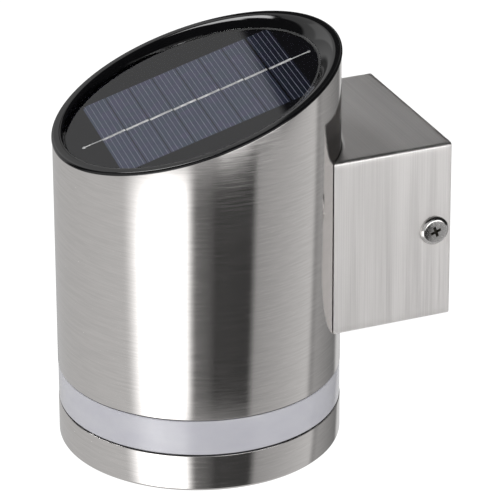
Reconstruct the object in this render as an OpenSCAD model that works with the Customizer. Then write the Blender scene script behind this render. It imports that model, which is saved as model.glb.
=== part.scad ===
// Solar light for a fence or wall. A brushed steel tube is cut off at a slant under its
// solar panel, a frosted band near the foot is lit, and a square arm screws to a wall plate.
// The origin is the middle of the arm's end face on the wall. +Y points into the wall, +Z up.

/* [Tube] */
// Outside diameter of the steel tube
tube_d = 76; // [72:1:84]
// Wall of the steel tube and of the base skirt
tube_wall = 1; // [0.8:0.1:1.4]
// Height of the slanted cut above the foot, on the tube's axis
body_h = 98; // [94:1:120]
// Slope of the cut and of the solar panel
cut_angle = 18; // [12:1:22]
// Turn of the slanted end about the tube's axis, away from square to the arm
cut_turn = 6; // [-10:1:10]

/* [Base and light ring] */
// Height of the steel skirt at the foot
base_h = 10.4; // [9.4:0.2:14]
// Height of the lit band with its two gaskets
ring_h = 10.6; // [9:0.2:14]
// Wall of the lit band
ring_wall = 2; // [1.4:0.1:2.4]
// Thickness of the rubber gasket above and below the band
gasket_t = 0.3; // [0.2:0.05:0.6]
// Number of light diodes
led_count = 6; // [3:3:6]

/* [Solar panel] */
// Number of cells in the row
cell_count = 8; // [4:1:8]
// Width of one cell, along the slope
cell_w = 6.54; // [4:0.02:6.6]
// Length of one cell, across the slope
cell_len = 42.3; // [30:0.1:43]
// Gap between two cells
cell_gap = 0.22; // [0.1:0.02:0.4]
// Least room between the trimmed corners of the cells and the edge of the panel
cell_margin = 0.15; // [0.1:0.05:3]
// Width of the tab ribbon
ribbon_w = 1.5; // [1:0.1:2]
// Depth of the panel's face below the tube's edge
panel_drop = 0.8; // [0.6:0.1:4]
// Width of the bezel from the tube's side to the panel, taken level and halfway along the slope
bezel_w = 4.65; // [4.4:0.05:6]
// How far the panel lies down the slope from the tube's axis, taken level
panel_shift = 1.15; // [0:0.05:1.5]

/* [Arm] */
// Width of the square arm
arm_w = 52; // [44:1:56]
// Height of the square arm
arm_h = 50; // [44:1:54]
// Sheet thickness of the arm and of the wall plate
arm_wall = 1.2; // [1:0.1:2]
// Clear distance from the back of the tube to the wall
arm_reach = 24; // [22:1:40]
// Height of the arm's underside above the foot
arm_low = 33.3; // [32:0.1:40]
// Pitch of the two bolts that hold the tube to the arm
bolt_pitch = 28; // [20:1:32]

/* [Wall plate] */
// Pitch of the two wall screw holes
wall_pitch = 26; // [18:1:30]
// Diameter of a wall screw hole
wall_hole_d = 5.2; // [4:0.1:6.5]
// Reach of the wall plate's side flanges
flange_reach = 14; // [12:1:16]

/* [Batteries and switch] */
// Diameter of one rechargeable cell
battery_d = 14.5; // [14:0.1:14.8]
// Length of one rechargeable cell
battery_len = 50.5; // [44:0.5:50.5]
// Travel of the on and off slide
switch_travel = 3; // [2:0.5:4]

/* [Hidden] */
$fn = 96;

// Clearances and overruns that many pieces share
slip = 0.15;         // plastic in steel, and lids in their recesses
seat = 0.05;         // faces that rest on each other
over = 1;            // how far a cut runs past the face it opens
hole_slip = 0.2;     // round holes over the shank that passes through
thread_slip = 0.05;  // screw in its own thread
wire_hole_slip = 0.5;

// The tube and where it stands
tube_r = tube_d / 2;
bore_r = tube_r - tube_wall;
slope = tan(cut_angle);
axis_to_wall = tube_r + arm_reach;
foot_z = -(arm_low + arm_h / 2);
arm_mid = arm_low + arm_h / 2;
ring_top = base_h + ring_h;
tall = 2 * body_h;

// Solar panel, its thicknesses counted along the normal of its face
resin_t = 1.15;
board_t = 1.2;
seal_t = 0.8;
cell_t = 0.25;
ribbon_t = 0.1;
pocket_slip = 0.03;
tip_w = 0.7;         // wire from the last cell to its pad
tip_pad_d = 1.4;
ribbon_gap = 0.4;
panel_slip = 0.12;   // gap around the panel in its recess

// Upright height of a thickness that is measured square to the slope
function upright(t) = t / cos(cut_angle);

// Bezel: radii, and upright heights from the steel's edge
lip_over = 0.2;      // overhang past the steel
lip_rise = 0.8;      // crest above the steel's edge
lip_round = 0.6;     // outer round of the lip
lip_w = 1.8;         // width of the lip's crest
lip_ease = 0.4;      // height of the inner round of the crest
lip_root = 0.4;      // how far the lip runs into the carrier below it
bowl_past = 0.4;     // how far the bowl's cut runs in past the panel's edge
bowl_fall_share = 0.78; // its fall there, as a share of that
bezel_t = 1.6;       // wall of the skirt inside the tube
skirt_below = 2;     // skirt below the ledge
ledge_w = 1.6;       // ledge under the panel
ledge_t = 1.6;
arc_steps = 4;
window_r = tube_r - bezel_w;
skirt_out = bore_r - slip;
crest_out = tube_r + lip_over;
crest_in = crest_out - lip_w;
board_low = -panel_drop - upright(resin_t + board_t);
ledge_top = board_low - upright(seal_t);
ledge_low = ledge_top - ledge_t;
bezel_low = ledge_low - skirt_below;
lead_r = 0.6;
lead_room = 0.45;    // between a panel lead and the ledge
cell_pitch = cell_w + cell_gap;
array_len = cell_count * cell_pitch - cell_gap;
cell_trim_r = window_r - panel_slip - cell_margin;
lead_y = window_r - panel_shift - ledge_w - lead_r - lead_room;
pad_reach = lead_y / cos(cut_angle) + lead_r + lead_room;
tip_len = pad_reach - array_len / 2;

// Base skirt and base plate
foot_lip_w = 3;      // flange turned in at the foot
skirt_round = 0.8;
plate_t = 2.4;
plate_low = tube_wall + seat;
plate_top = plate_low + plate_t;
rim_w = 1.9;         // rim that carries the reflector
rim_rise = 2;        // rim above the steel skirt
rim_top = base_h + rim_rise;
spigot_t = 1.8;      // spigots of the light ring
spigot_h = 3.4;
ring_inset = 0.1;
gasket_inset = 0.15;
rim_out = bore_r - spigot_t - 2 * slip;

// Chassis that carries the electrics
deck_low = ring_top + spigot_h + slip;
deck_t = 2;
chassis_t = 1.6;
chassis_skirt = 14;
tongue_w = 14;
tongue_over = 6;
post_r = 3.5;
post_room = 0.5;
post_count = 4;
post_circle = rim_out - rim_w - post_room - post_r;
post_turns = [for (i = [0 : post_count - 1]) 360 * (i + 1 / 2) / post_count];
well_t = 1.6;
well_slip = 0.5;
battery_x = (battery_d + well_slip) / 2;
well_w = 2 * battery_d + 3 * well_slip;
well_d = battery_d + 2 * well_slip;

// Battery door, its seal and screws
door_t = 1.6;
door_round = 3;
door_land = 4.5;     // from the battery well to a door screw
door_end = 3.2;      // from a door screw to the door's end
door_side = 2.2;     // from the battery well to the door's long side
door_screw_x = well_w / 2 + door_land;
door_w = 2 * (door_screw_x + door_end);
door_d = well_d + 2 * door_side;
frame_t = 1.6;       // raised frame around the door's recess
frame_h = 4.6;
frame_top = plate_low + frame_h;
door_seal_t = 0.6;
door_seal_w = 1.2;

// Contacts and springs
contact_t = 0.4;
spring_r = 3.6;
spring_wire_r = 0.35;
spring_turns = 3.5;
spring_h = 3.6;
ring_steps = 14;
ring_sides = 6;
contact_edge = 1.1;  // strip past the springs on the door's contact
battery_low = plate_low + door_t + contact_t + spring_h + 2 * seat;
battery_top = battery_low + battery_len;
button_r = 2.75;
button_h = 1;
roof_low = battery_top + contact_t + 2 * seat;
roof_t = 1.6;
roof_top = roof_low + roof_t;

// Control board
pcb_w = 40;
pcb_d = 26;
pcb_t = 1.6;
standoff_r = 2.6;
standoff_h = 5;
standoff_x = 13.5;
pcb_low = roof_top + standoff_h;
pcb_top = pcb_low + pcb_t;
chip_size = [5, 4, 1.5];
chip_at = [3, -6];
coil_r = 3.2;
coil_h = 3.6;
coil_at = [-8, 6];
coil_flange = 0.7;   // height of a flange of the drum core
coil_inset = 0.6;    // winding inside the flanges
cap_r = 2.5;
cap_h = 7;
cap_at = [9, 6];

// Light diodes, their board and the reflector
led_board_t = 1.2;
led_board_in = 20.6;
led_board_slip = 0.6;
led_size = [3.5, 2.8, 0.8];
led_board_out = rim_out - led_board_slip;
led_inset = 5.7;     // from the board's edge to the diodes
led_circle = led_board_out - led_inset;
led_lens_r = 1.1;
led_lens_h = 0.3;
reflector_t = 1.2;
reflector_in = 20.8;
reflector_flange = 3.6;
reflector_below = 1.1;
reflector_top = ring_top - reflector_below;
hole_room = 0.4;     // around the posts

// Leads
lead_sides = 8;
lead_bend = 1.2;
lead_gap = 2.4;
panel_lead_y = 9;
led_lead_x = 24;
led_lead_in = 18.6;
switch_lead_y = -24;
switch_lead_in = -11;
lead_hole_r = 3;
lead_rise = 4;

// Slide switch
switch_y = -21;
switch_h = 4.6;
switch_t = 0.8;
slot_slip = 0.3;
knob_w = 3.6;
knob_d = 2.6;
knob_out = 0.5;      // below the base plate's underside, still above the foot
knob_collar = 1;
knob_collar_h = 1.2;
knob_rib = 0.3;
knob_ribs = 3;
slot_w = knob_w + switch_travel + 2 * slot_slip;
slot_d = knob_d + 2 * slot_slip;
collar_w = knob_w + 2 * knob_collar;
collar_d = knob_d + 2 * knob_collar;
switch_w = collar_w + switch_travel + 2 * (slot_slip + switch_t);
switch_d = collar_d + 2 * (slot_slip + switch_t);
finger_room = 4.2;   // recess for a fingertip around the knob's travel
finger_side = 2.7;
finger_deep = 1;

// Arm, saddle, bolts and nuts
arm_round = 0.8;
saddle_t = 1.5;
arm_slip = 0.1;
saddle_reach = 9;
bolt_r = 2;
bolt_head_r = 3.9;
bolt_head_h = 2.6;
head_edge = 0.6;     // straight side of a pan head
nut_across = 7;      // across the flats
nut_t = 3.2;
bolt_past = 1.4;     // thread past the nut
cross_w = 0.9;       // cross recess of a screw head
cross_len = 4.2;
cross_deep = 1.3;
small_cross_share = 0.62;
bolt_seat_y = sqrt(pow(skirt_out - chassis_t, 2) - pow(bolt_head_r, 2)) - seat;
nut_y = tube_r + arm_slip + saddle_t + seat;

// Wall plate
plate_slip = 0.3;
flange_h = 30;
flange_nut_t = 2.6;
nut_room = 0.3;      // between a side nut and the plate
side_screw_y = arm_wall + nut_across / 2 + nut_room;
flange_in = arm_w / 2 - 2 * arm_wall - plate_slip;
side_shank = 2 * arm_wall + plate_slip + flange_nut_t + 2 * seat + bolt_past;

// Small screws
small_r = 1.45;
small_head_r = 2.8;
small_head_h = 1.9;
door_head_r = 2.5;
door_head_h = 1.2;
base_screw_len = 16;
board_screw_len = 5;

// Places a piece in the lamp's frame, whose origin is the foot on the tube's axis
module at_lamp() {
    translate([0, -axis_to_wall, foot_z]) children();
}

// Turns a piece with the slanted end
module at_head() {
    at_lamp() rotate([0, 0, -cut_turn]) children();
}

// Frame of the slanted plane that meets the axis at height h above the cut
module on_slope(h) {
    translate([0, 0, body_h + h]) rotate([cut_angle, 0, 0]) children();
}

// Moves a piece down the slope from the tube's axis to the middle of the panel
module down_slope() {
    translate([0, -panel_shift, -panel_shift * slope]) children();
}

// Half space above the slanted plane
module above_slope(h) {
    on_slope(h) translate([-tall, -tall, 0]) cube([2 * tall, 2 * tall, tall]);
}

// Upright cylinder of radius r between two planes that follow the cut, low and high above it
module slope_disc(r, low, high) {
    t = (high - low) * cos(cut_angle);
    intersection() {
        translate([0, 0, body_h / 2]) cylinder(r = r, h = tall);
        on_slope(high) translate([-tall, -tall, -t]) cube([2 * tall, 2 * tall, t]);
    }
}

module tube(r_out, r_in, h) {
    difference() {
        cylinder(r = r_out, h = h);
        translate([0, 0, -over]) cylinder(r = r_in, h = h + 2 * over);
    }
}

module rounded_square(w, d, r) {
    square([w - 2 * r, d], center = true);
    square([w, d - 2 * r], center = true);
    for (sx = [-1, 1], sy = [-1, 1]) {
        translate([sx * (w / 2 - r), sy * (d / 2 - r)]) circle(r = r);
    }
}

module rounded_plate(w, d, r, t) {
    linear_extrude(t) rounded_square(w, d, r);
}

module around(turns, r) {
    for (a = turns) {
        rotate([0, 0, a]) translate([r, 0, 0]) children();
    }
}

// Cross-recessed pan head screw: the head on +Z, the shank down from the origin
module pan_screw(shank_r, shank_len, head_r, head_h, cross_share) {
    dome = head_h - head_edge;
    ball_r = (head_r * head_r + dome * dome) / (2 * dome);
    difference() {
        union() {
            translate([0, 0, -shank_len]) cylinder(r = shank_r, h = shank_len + seat);
            intersection() {
                cylinder(r = head_r, h = head_h);
                translate([0, 0, head_h - ball_r]) sphere(r = ball_r);
            }
            cylinder(r = head_r, h = head_edge);
        }
        for (a = [0, 90]) {
            rotate([0, 0, a]) translate([0, 0, head_h])
                cube([cross_len * cross_share, cross_w * cross_share, 2 * cross_deep * cross_share],
                    center = true);
        }
    }
}

module hex_nut(across, t, hole_r) {
    difference() {
        cylinder(d = across / cos(30), h = t, $fn = 6);
        translate([0, 0, -over]) cylinder(r = hole_r, h = t + 2 * over);
    }
}

// Faces of a tube whose n + 1 rings of points follow each other, with both ends closed
function swept_faces(n, sides) = concat(
    [for (i = [0 : n - 1], k = [0 : sides - 1])
        let (k2 = (k + 1) % sides, a = i * sides, b = a + sides)
        each [[a + k, b + k, b + k2], [a + k, b + k2, a + k2]]],
    [for (k = [1 : sides - 2]) [0, k, k + 1]],
    [for (k = [1 : sides - 2]) let (e = n * sides) [e, e + k + 1, e + k]]);

function unit(v) = v / norm(v);

// Route with each inner corner replaced by three points of a bend
function bend(a, b, c) =
    let (p = b + unit(a - b) * lead_bend, q = b + unit(c - b) * lead_bend)
    [p, (p + 2 * b + q) / 4, q];
function rounded_route(p) = concat(
    [p[0]],
    [for (i = [1 : len(p) - 2]) each bend(p[i - 1], p[i], p[i + 1])],
    [p[len(p) - 1]]);

// Insulated wire: a ring of points square to the route at each of its points
module wire(corners) {
    p = rounded_route(corners);
    n = len(p) - 1;
    points = [for (i = [0 : n])
        let (ahead = unit(p[min(i + 1, n)] - p[min(i, n - 1)]),
            behind = unit(p[max(i, 1)] - p[max(i - 1, 0)]),
            t = unit(ahead + behind),
            u = unit(cross(t, [1, 1, 0])),
            v = cross(u, t))
        for (k = [0 : lead_sides - 1])
            p[i] + lead_r * (u * cos(360 * k / lead_sides) + v * sin(360 * k / lead_sides))];
    polyhedron(points, swept_faces(n, lead_sides));
}

module tube_body() {
    at_lamp() color("silver") difference() {
        translate([0, 0, ring_top]) tube(tube_r, bore_r, tall);
        rotate([0, 0, -cut_turn]) above_slope(0);
        bolt_holes(bolt_r + hole_slip);
    }
}

// Holes for the two arm bolts, through the tube's back wall
module bolt_holes(r) {
    for (s = [-1, 1]) {
        translate([0, tube_r / 2, arm_mid + s * bolt_pitch / 2])
            rotate([-90, 0, 0]) cylinder(r = r, h = tube_r);
    }
}

// Section of the bezel's lip as radius and upright height from the steel's edge
lip_arc = [for (i = [0 : arc_steps])
    let (a = 90 * i / arc_steps)
    [crest_out - lip_round + lip_round * cos(a), lip_rise - lip_round + lip_round * sin(a)]];
slope_arc = [for (i = [0 : 2 * arc_steps])
    let (s = i / (2 * arc_steps))
    [crest_in - (crest_in - window_r) * s, lip_rise - (lip_rise + panel_drop) * (1 - cos(90 * s))
        - lip_ease * sin(180 * s)]];
cap_section = concat(
    [[0, -lip_root], [skirt_out - lip_root, -lip_root], [skirt_out - lip_root, seat], [crest_out, seat]],
    lip_arc,
    [[0, lip_rise]]);
bowl_section = concat(
    [[0, lip_rise + over], [crest_in, lip_rise + over]],
    slope_arc,
    [[window_r - bowl_past, -panel_drop - bowl_past * bowl_fall_share],
    [0, -panel_drop - bowl_past * bowl_fall_share]]);

// Turned section that follows the cut: its height runs up the slope, and lean moves it along the
// slope for each unit of height below the crest
module turned_on_cut(section, lean) {
    translate([0, 0, body_h])
        multmatrix([[1, 0, 0, 0],
            [0, 1, lean, -lean * lip_rise],
            [0, slope, 1 + slope * lean, -slope * lean * lip_rise],
            [0, 0, 0, 1]])
            rotate_extrude() polygon(section);
}

// The cap with its round lip follows the cut. A bowl, which leans down the slope from the crest to the
// panel's edge, is sunk into it, and the recess and ledge for the panel are cut below.
module solar_bezel() {
    at_head() color([0.03, 0.03, 0.035]) difference() {
        union() {
            turned_on_cut(cap_section, 0);
            slope_disc(skirt_out, bezel_low, 0);
        }
        turned_on_cut(bowl_section, panel_shift / (lip_rise + panel_drop));
        down_slope() {
            slope_disc(window_r, ledge_top, over);
            slope_disc(window_r - ledge_w, bezel_low - over, over);
        }
        slope_disc(skirt_out - bezel_t, bezel_low - over, ledge_low);
    }
}

// Foam ring between the ledge and the panel
module panel_seal() {
    at_head() down_slope() color([0.15, 0.15, 0.15]) difference() {
        slope_disc(window_r - panel_slip, ledge_top, board_low);
        slope_disc(window_r - ledge_w + slip, ledge_top - over, board_low + over);
    }
}

module panel_board() {
    at_head() color([0.05, 0.06, 0.09]) difference() {
        down_slope() slope_disc(window_r - panel_slip, board_low, -panel_drop - upright(resin_t));
        for (s = [-1, 1]) {
            on_slope(-panel_drop) translate([0, s * pad_reach, 0])
                cylinder(r = lead_r + pocket_slip, h = tall, center = true);
        }
    }
}

// Row of cells, their corners trimmed to the round panel
module solar_cells() {
    at_head() color([0.2, 0.24, 0.42]) intersection() {
        on_slope(-panel_drop - upright(resin_t))
            for (i = [0 : cell_count - 1]) {
                translate([-cell_len / 2, -array_len / 2 + i * cell_pitch, 0]) cube([cell_len, cell_w, cell_t]);
            }
        down_slope() slope_disc(cell_trim_r, board_low, 0);
    }
}

// Tab ribbons on the cells, one to each cell, and a thin wire from each end to its pad
module cell_ribbons() {
    at_head() color([0.8, 0.8, 0.8]) on_slope(-panel_drop - upright(resin_t)) {
        for (i = [0 : cell_count - 1]) {
            translate([-ribbon_w / 2, -array_len / 2 + i * cell_pitch + ribbon_gap / 2, cell_t])
                cube([ribbon_w, cell_pitch - ribbon_gap - cell_gap, ribbon_t]);
        }
        for (s = [-1, 1]) {
            translate([-tip_w / 2, s < 0 ? -pad_reach : array_len / 2 + cell_gap, 0])
                cube([tip_w, tip_len - cell_gap, cell_t + ribbon_t]);
            translate([0, s * pad_reach, 0]) cylinder(d = tip_pad_d, h = cell_t + ribbon_t);
        }
    }
}

// Clear casting over the cells, with a pocket where they lie
module panel_resin() {
    at_head() color([0.7, 0.75, 0.8, 0.3]) difference() {
        down_slope() slope_disc(window_r - panel_slip, -panel_drop - upright(resin_t), -panel_drop);
        intersection() {
            on_slope(-panel_drop - upright(resin_t)) pocket(cell_len, array_len, cell_t);
            down_slope() slope_disc(cell_trim_r + pocket_slip, board_low, 0);
        }
        on_slope(-panel_drop - upright(resin_t)) {
            pocket(ribbon_w, array_len, cell_t + ribbon_t);
            pocket(tip_w, 2 * pad_reach, cell_t + ribbon_t);
            for (s = [-1, 1]) {
                translate([0, s * pad_reach, -over])
                    cylinder(d = tip_pad_d + 2 * pocket_slip, h = over + cell_t + ribbon_t + pocket_slip);
            }
        }
    }
}

module pocket(w, d, h) {
    translate([-w / 2 - pocket_slip, -d / 2 - pocket_slip, -over])
        cube([w + 2 * pocket_slip, d + 2 * pocket_slip, h + over + pocket_slip]);
}

// Two wires from the pads under the panel to the control board
module panel_leads() {
    at_lamp() color([0.6, 0.1, 0.1])
        for (s = [-1, 1]) {
            pad_z = body_h + board_low + (s * lead_y - lead_r) * slope - seat;
            pad = s * lead_y * [sin(cut_turn), cos(cut_turn)];
            wire([[pad[0], pad[1], pad_z],
                [pad[0], pad[1], pad_z - lead_rise],
                [s * lead_gap, panel_lead_y, pcb_top + 2 * lead_rise],
                [s * lead_gap, panel_lead_y, pcb_top + seat]]);
        }
}

// Moulding inside the tube: deck, skirt, screw posts, battery well and the tongue under the bolts
module chassis() {
    at_lamp() color([0.12, 0.12, 0.13]) difference() {
        union() {
            translate([0, 0, deck_low]) cylinder(r = skirt_out, h = deck_t);
            translate([0, 0, deck_low]) tube(skirt_out, skirt_out - chassis_t, deck_t + chassis_skirt);
            tongue();
            around(post_turns, post_circle)
                translate([0, 0, plate_top + seat]) cylinder(r = post_r, h = deck_low + over - plate_top);
            translate([0, 0, frame_top + seat])
                rounded_plate(well_w + 2 * well_t, well_d + 2 * well_t, well_t, roof_top - frame_top - seat);
            for (s = [-1, 1]) {
                translate([s * standoff_x, 0, roof_top - over])
                    cylinder(r = standoff_r, h = standoff_h + over);
            }
        }
        translate([-well_w / 2, -well_d / 2, 0]) cube([well_w, well_d, roof_low]);
        around(post_turns, post_circle)
            cylinder(r = small_r + thread_slip, h = plate_low + base_screw_len + over);
        for (s = [-1, 1]) {
            translate([s * standoff_x, 0, pcb_low - board_screw_len])
                cylinder(r = small_r + thread_slip, h = board_screw_len + over);
            translate([s * battery_x, 0, roof_low - over]) cylinder(r = lead_r + wire_hole_slip, h = tall);
        }
        bolt_holes(bolt_r + hole_slip);
        translate([led_lead_x, 0, 0]) cylinder(r = lead_hole_r, h = tall);
        translate([0, switch_lead_y, 0]) cylinder(r = lead_hole_r, h = tall);
    }
}

module tongue() {
    tongue_top = arm_mid + bolt_pitch / 2 + tongue_over;
    intersection() {
        translate([0, 0, deck_low]) tube(skirt_out, skirt_out - chassis_t, tongue_top - deck_low);
        translate([-tongue_w / 2, 0, 0]) cube([tongue_w, tube_r, tall]);
    }
}

module control_board() {
    at_lamp() color([0.1, 0.35, 0.16]) difference() {
        translate([0, 0, pcb_low + seat]) rounded_plate(pcb_w, pcb_d, well_t, pcb_t - seat);
        for (s = [-1, 1]) {
            translate([s * standoff_x, 0, 0]) cylinder(r = small_r + hole_slip, h = tall);
        }
    }
}

module board_screws() {
    at_lamp() color([0.75, 0.75, 0.72])
        for (s = [-1, 1]) {
            translate([s * standoff_x, 0, pcb_top + seat])
                pan_screw(small_r, board_screw_len, small_head_r, small_head_h, small_cross_share);
        }
}

module charge_chip() {
    at_lamp() color([0.08, 0.08, 0.08])
        translate([chip_at[0], chip_at[1], pcb_top + seat + chip_size[2] / 2]) cube(chip_size, center = true);
}

// Drum core with its winding
module choke_coil() {
    at_lamp() color([0.45, 0.25, 0.12]) translate([coil_at[0], coil_at[1], pcb_top + seat])
        rotate_extrude()
            polygon([[0, 0], [coil_r, 0], [coil_r, coil_flange], [coil_r - coil_inset, coil_flange],
                [coil_r - coil_inset, coil_h - coil_flange], [coil_r, coil_h - coil_flange],
                [coil_r, coil_h], [0, coil_h]]);
}

module board_capacitor() {
    at_lamp() color([0.2, 0.25, 0.5]) translate([cap_at[0], cap_at[1], pcb_top + seat])
        cylinder(r = cap_r, h = cap_h);
}

// Spring contacts on the door and flat contacts under the roof of the well
module contact_plates() {
    at_lamp() color([0.78, 0.76, 0.7]) {
        translate([0, 0, plate_low + door_t + seat])
            rounded_plate(2 * (battery_x + spring_r + contact_edge), 2 * (spring_r + contact_edge),
                contact_edge, contact_t);
        for (s = [-1, 1]) {
            translate([s * battery_x, 0, roof_low - contact_t - seat])
                rounded_plate(battery_d - 2 * well_t, battery_d - 2 * well_t, well_t, contact_t);
        }
    }
}

// One cell with its raised button; side is +1 with the button up, -1 with it down
module battery(side) {
    body_len = battery_len - button_h;
    translate([0, 0, side > 0 ? 0 : battery_len]) mirror([0, 0, side > 0 ? 0 : 1]) {
        cylinder(d = battery_d, h = body_len);
        cylinder(r = button_r, h = battery_len);
    }
}

module battery_left() {
    at_lamp() color([0.25, 0.5, 0.28]) translate([-battery_x, 0, battery_low]) battery(1);
}

module battery_right() {
    at_lamp() color([0.25, 0.5, 0.28]) translate([battery_x, 0, battery_low]) battery(-1);
}

// Conical coil: rings of points carried up a helix
function coil_ring(i, n) =
    let (s = i / n,
        a = 360 * spring_turns * s,
        r = spring_r - (spring_r - button_r) * s,
        z = spring_wire_r + (spring_h - 2 * spring_wire_r) * s)
    [for (k = [0 : ring_sides - 1])
        let (b = 360 * k / ring_sides, rr = r + spring_wire_r * cos(b))
        [rr * cos(a), rr * sin(a), z + spring_wire_r * sin(b)]];

module spring() {
    n = ceil(ring_steps * spring_turns);
    polyhedron([for (i = [0 : n]) each coil_ring(i, n)], swept_faces(n, ring_sides));
}

module battery_springs() {
    at_lamp() color([0.8, 0.8, 0.78])
        for (s = [-1, 1]) {
            translate([s * battery_x, 0, battery_low - spring_h - seat]) spring();
        }
}

// Short wires from the top contacts up to the control board
module battery_leads() {
    at_lamp() color([0.7, 0.1, 0.1])
        for (s = [-1, 1]) {
            wire([[s * battery_x, 0, roof_low - seat],
                [s * battery_x, 0, roof_top + lead_bend],
                [s * battery_x, s * lead_gap, pcb_low - lead_bend - lead_r],
                [s * battery_x, s * lead_gap, pcb_low]]);
        }
}

module led_board() {
    at_lamp() color([0.92, 0.92, 0.9]) difference() {
        translate([0, 0, deck_low - led_board_t])
            tube(led_board_out, led_board_in, led_board_t - seat);
        around(post_turns, post_circle) cylinder(r = post_r + hole_room, h = tall);
        translate([0, switch_lead_y, 0]) cylinder(r = lead_hole_r, h = tall);
    }
}

// White diode blocks under the board, each with a round lens
module leds() {
    at_lamp() color([0.98, 0.95, 0.7])
        around([for (i = [0 : led_count - 1]) 360 * i / led_count], led_circle)
            translate([0, 0, deck_low - led_board_t - seat]) {
                translate([0, 0, -led_size[2] / 2]) cube(led_size, center = true);
                translate([0, 0, -led_size[2] - led_lens_h]) cylinder(r = led_lens_r, h = led_lens_h + seat);
            }
}

module led_leads() {
    at_lamp() color([0.15, 0.15, 0.6])
        for (s = [-1, 1]) {
            wire([[led_lead_x, s * lead_gap / 2, deck_low],
                [led_lead_x, s * lead_gap / 2, roof_low],
                [led_lead_in, s * lead_gap, roof_top + standoff_h / 2],
                [led_lead_in, s * lead_gap, pcb_low]]);
        }
}

// White cone that throws the light out through the ring; its flange lies on the base plate's rim
module reflector() {
    cone_out = rim_out - reflector_flange;
    z0 = rim_top + seat;
    at_lamp() color([0.93, 0.93, 0.93]) difference() {
        rotate_extrude()
            polygon([[rim_out, z0], [rim_out, z0 + reflector_t], [cone_out, z0 + reflector_t],
                [reflector_in, reflector_top], [reflector_in, reflector_top - reflector_t],
                [cone_out - reflector_t / 2, z0]]);
        around(post_turns, post_circle) cylinder(r = post_r + hole_room, h = tall);
        translate([0, switch_lead_y, 0]) cylinder(r = lead_hole_r, h = tall);
    }
}

// Frosted ring: the lit band and its two spigots, one in the tube and one in the skirt
module light_ring() {
    band_out = tube_r - ring_inset;
    band_in = band_out - ring_wall;
    spigot_out = bore_r - slip;
    spigot_in = spigot_out - spigot_t;
    low = base_h + gasket_t;
    high = ring_top - gasket_t;
    at_lamp() color([0.84, 0.83, 0.92]) rotate_extrude()
        polygon([[band_out, low], [band_out, high], [spigot_out, high], [spigot_out, high + spigot_h],
            [spigot_in, high + spigot_h], [band_in, high - ring_wall], [band_in, low + ring_wall],
            [spigot_in, low - spigot_h], [spigot_out, low - spigot_h], [spigot_out, low]]);
}

module gasket_ring(z) {
    at_lamp() color([0.08, 0.08, 0.1]) translate([0, 0, z])
        tube(tube_r - gasket_inset - ring_inset, bore_r + seat, gasket_t);
}

module upper_gasket() {
    gasket_ring(ring_top - gasket_t);
}

module lower_gasket() {
    gasket_ring(base_h);
}

// Drawn steel skirt with a narrow flange turned in at the foot
module base_skirt() {
    knee = [for (i = [0 : arc_steps])
        let (a = 90 * i / arc_steps)
        [tube_r - skirt_round + skirt_round * sin(a), skirt_round - skirt_round * cos(a)]];
    at_lamp() color("silver") rotate_extrude()
        polygon(concat([[bore_r - foot_lip_w, tube_wall], [bore_r - foot_lip_w, 0]], knee,
            [[tube_r, base_h], [bore_r, base_h], [bore_r, tube_wall]]));
}

// Moulded floor of the light: rim, door recess, switch pocket and screw seats
module base_plate() {
    at_lamp() color([0.14, 0.14, 0.15]) difference() {
        union() {
            translate([0, 0, plate_low]) cylinder(r = bore_r - slip - seat, h = plate_t);
            translate([0, 0, plate_low]) tube(rim_out, rim_out - rim_w, rim_top - plate_low);
            translate([0, 0, plate_low])
                rounded_plate(door_w + 2 * frame_t, door_d + 2 * frame_t, door_round, frame_top - plate_low);
        }
        translate([0, 0, plate_low - over])
            rounded_plate(door_w, door_d, door_round, door_t + door_seal_t + over + 2 * seat);
        translate([-well_w / 2, -well_d / 2, 0]) cube([well_w, well_d, tall]);
        for (s = [-1, 1]) {
            translate([s * door_screw_x, 0, 0]) cylinder(r = small_r + thread_slip, h = tall);
        }
        around(post_turns, post_circle) {
            cylinder(r = small_r + hole_slip, h = tall);
            translate([0, 0, -over])
                cylinder(r = small_head_r + hole_slip, h = over + plate_low + small_head_h / 2);
        }
        translate([0, switch_y, 0]) {
            translate([-slot_w / 2, -slot_d / 2, 0]) cube([slot_w, slot_d, plate_top + over]);
            translate([0, 0, plate_low - over])
                rounded_plate(knob_w + switch_travel + 2 * finger_room, knob_d + 2 * finger_side, well_t,
                    finger_deep + over);
        }
    }
}

module base_screws() {
    at_lamp() color([0.75, 0.75, 0.72])
        around(post_turns, post_circle)
            translate([0, 0, plate_low + small_head_h / 2 - seat]) mirror([0, 0, 1])
                pan_screw(small_r, base_screw_len - small_head_h / 2, small_head_r, small_head_h,
                    small_cross_share);
}

module battery_door() {
    at_lamp() color([0.16, 0.16, 0.17]) difference() {
        translate([0, 0, plate_low])
            rounded_plate(door_w - 2 * slip, door_d - 2 * slip, door_round - slip, door_t);
        for (s = [-1, 1]) {
            translate([s * door_screw_x, 0, 0]) {
                cylinder(r = small_r + hole_slip, h = tall);
                cylinder(r = door_head_r + hole_slip, h = plate_low + door_t / 2);
            }
        }
    }
}

// Flat rubber frame between the door and its recess
module door_seal() {
    at_lamp() color([0.1, 0.1, 0.1]) difference() {
        translate([0, 0, plate_low + door_t + seat])
            rounded_plate(door_w - 2 * slip, door_d - 2 * slip, door_round - slip, door_seal_t);
        rounded_plate(well_w + door_seal_w, well_d + door_seal_w, door_round - slip, tall);
        for (s = [-1, 1]) {
            translate([s * door_screw_x, 0, 0]) cylinder(r = small_r + hole_slip, h = tall);
        }
    }
}

module door_screws() {
    at_lamp() color([0.75, 0.75, 0.72])
        for (s = [-1, 1]) {
            translate([s * door_screw_x, 0, plate_low + door_t / 2 - seat]) mirror([0, 0, 1])
                pan_screw(small_r, frame_h - door_t / 2, door_head_r, door_head_h, small_cross_share);
        }
}

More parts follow.
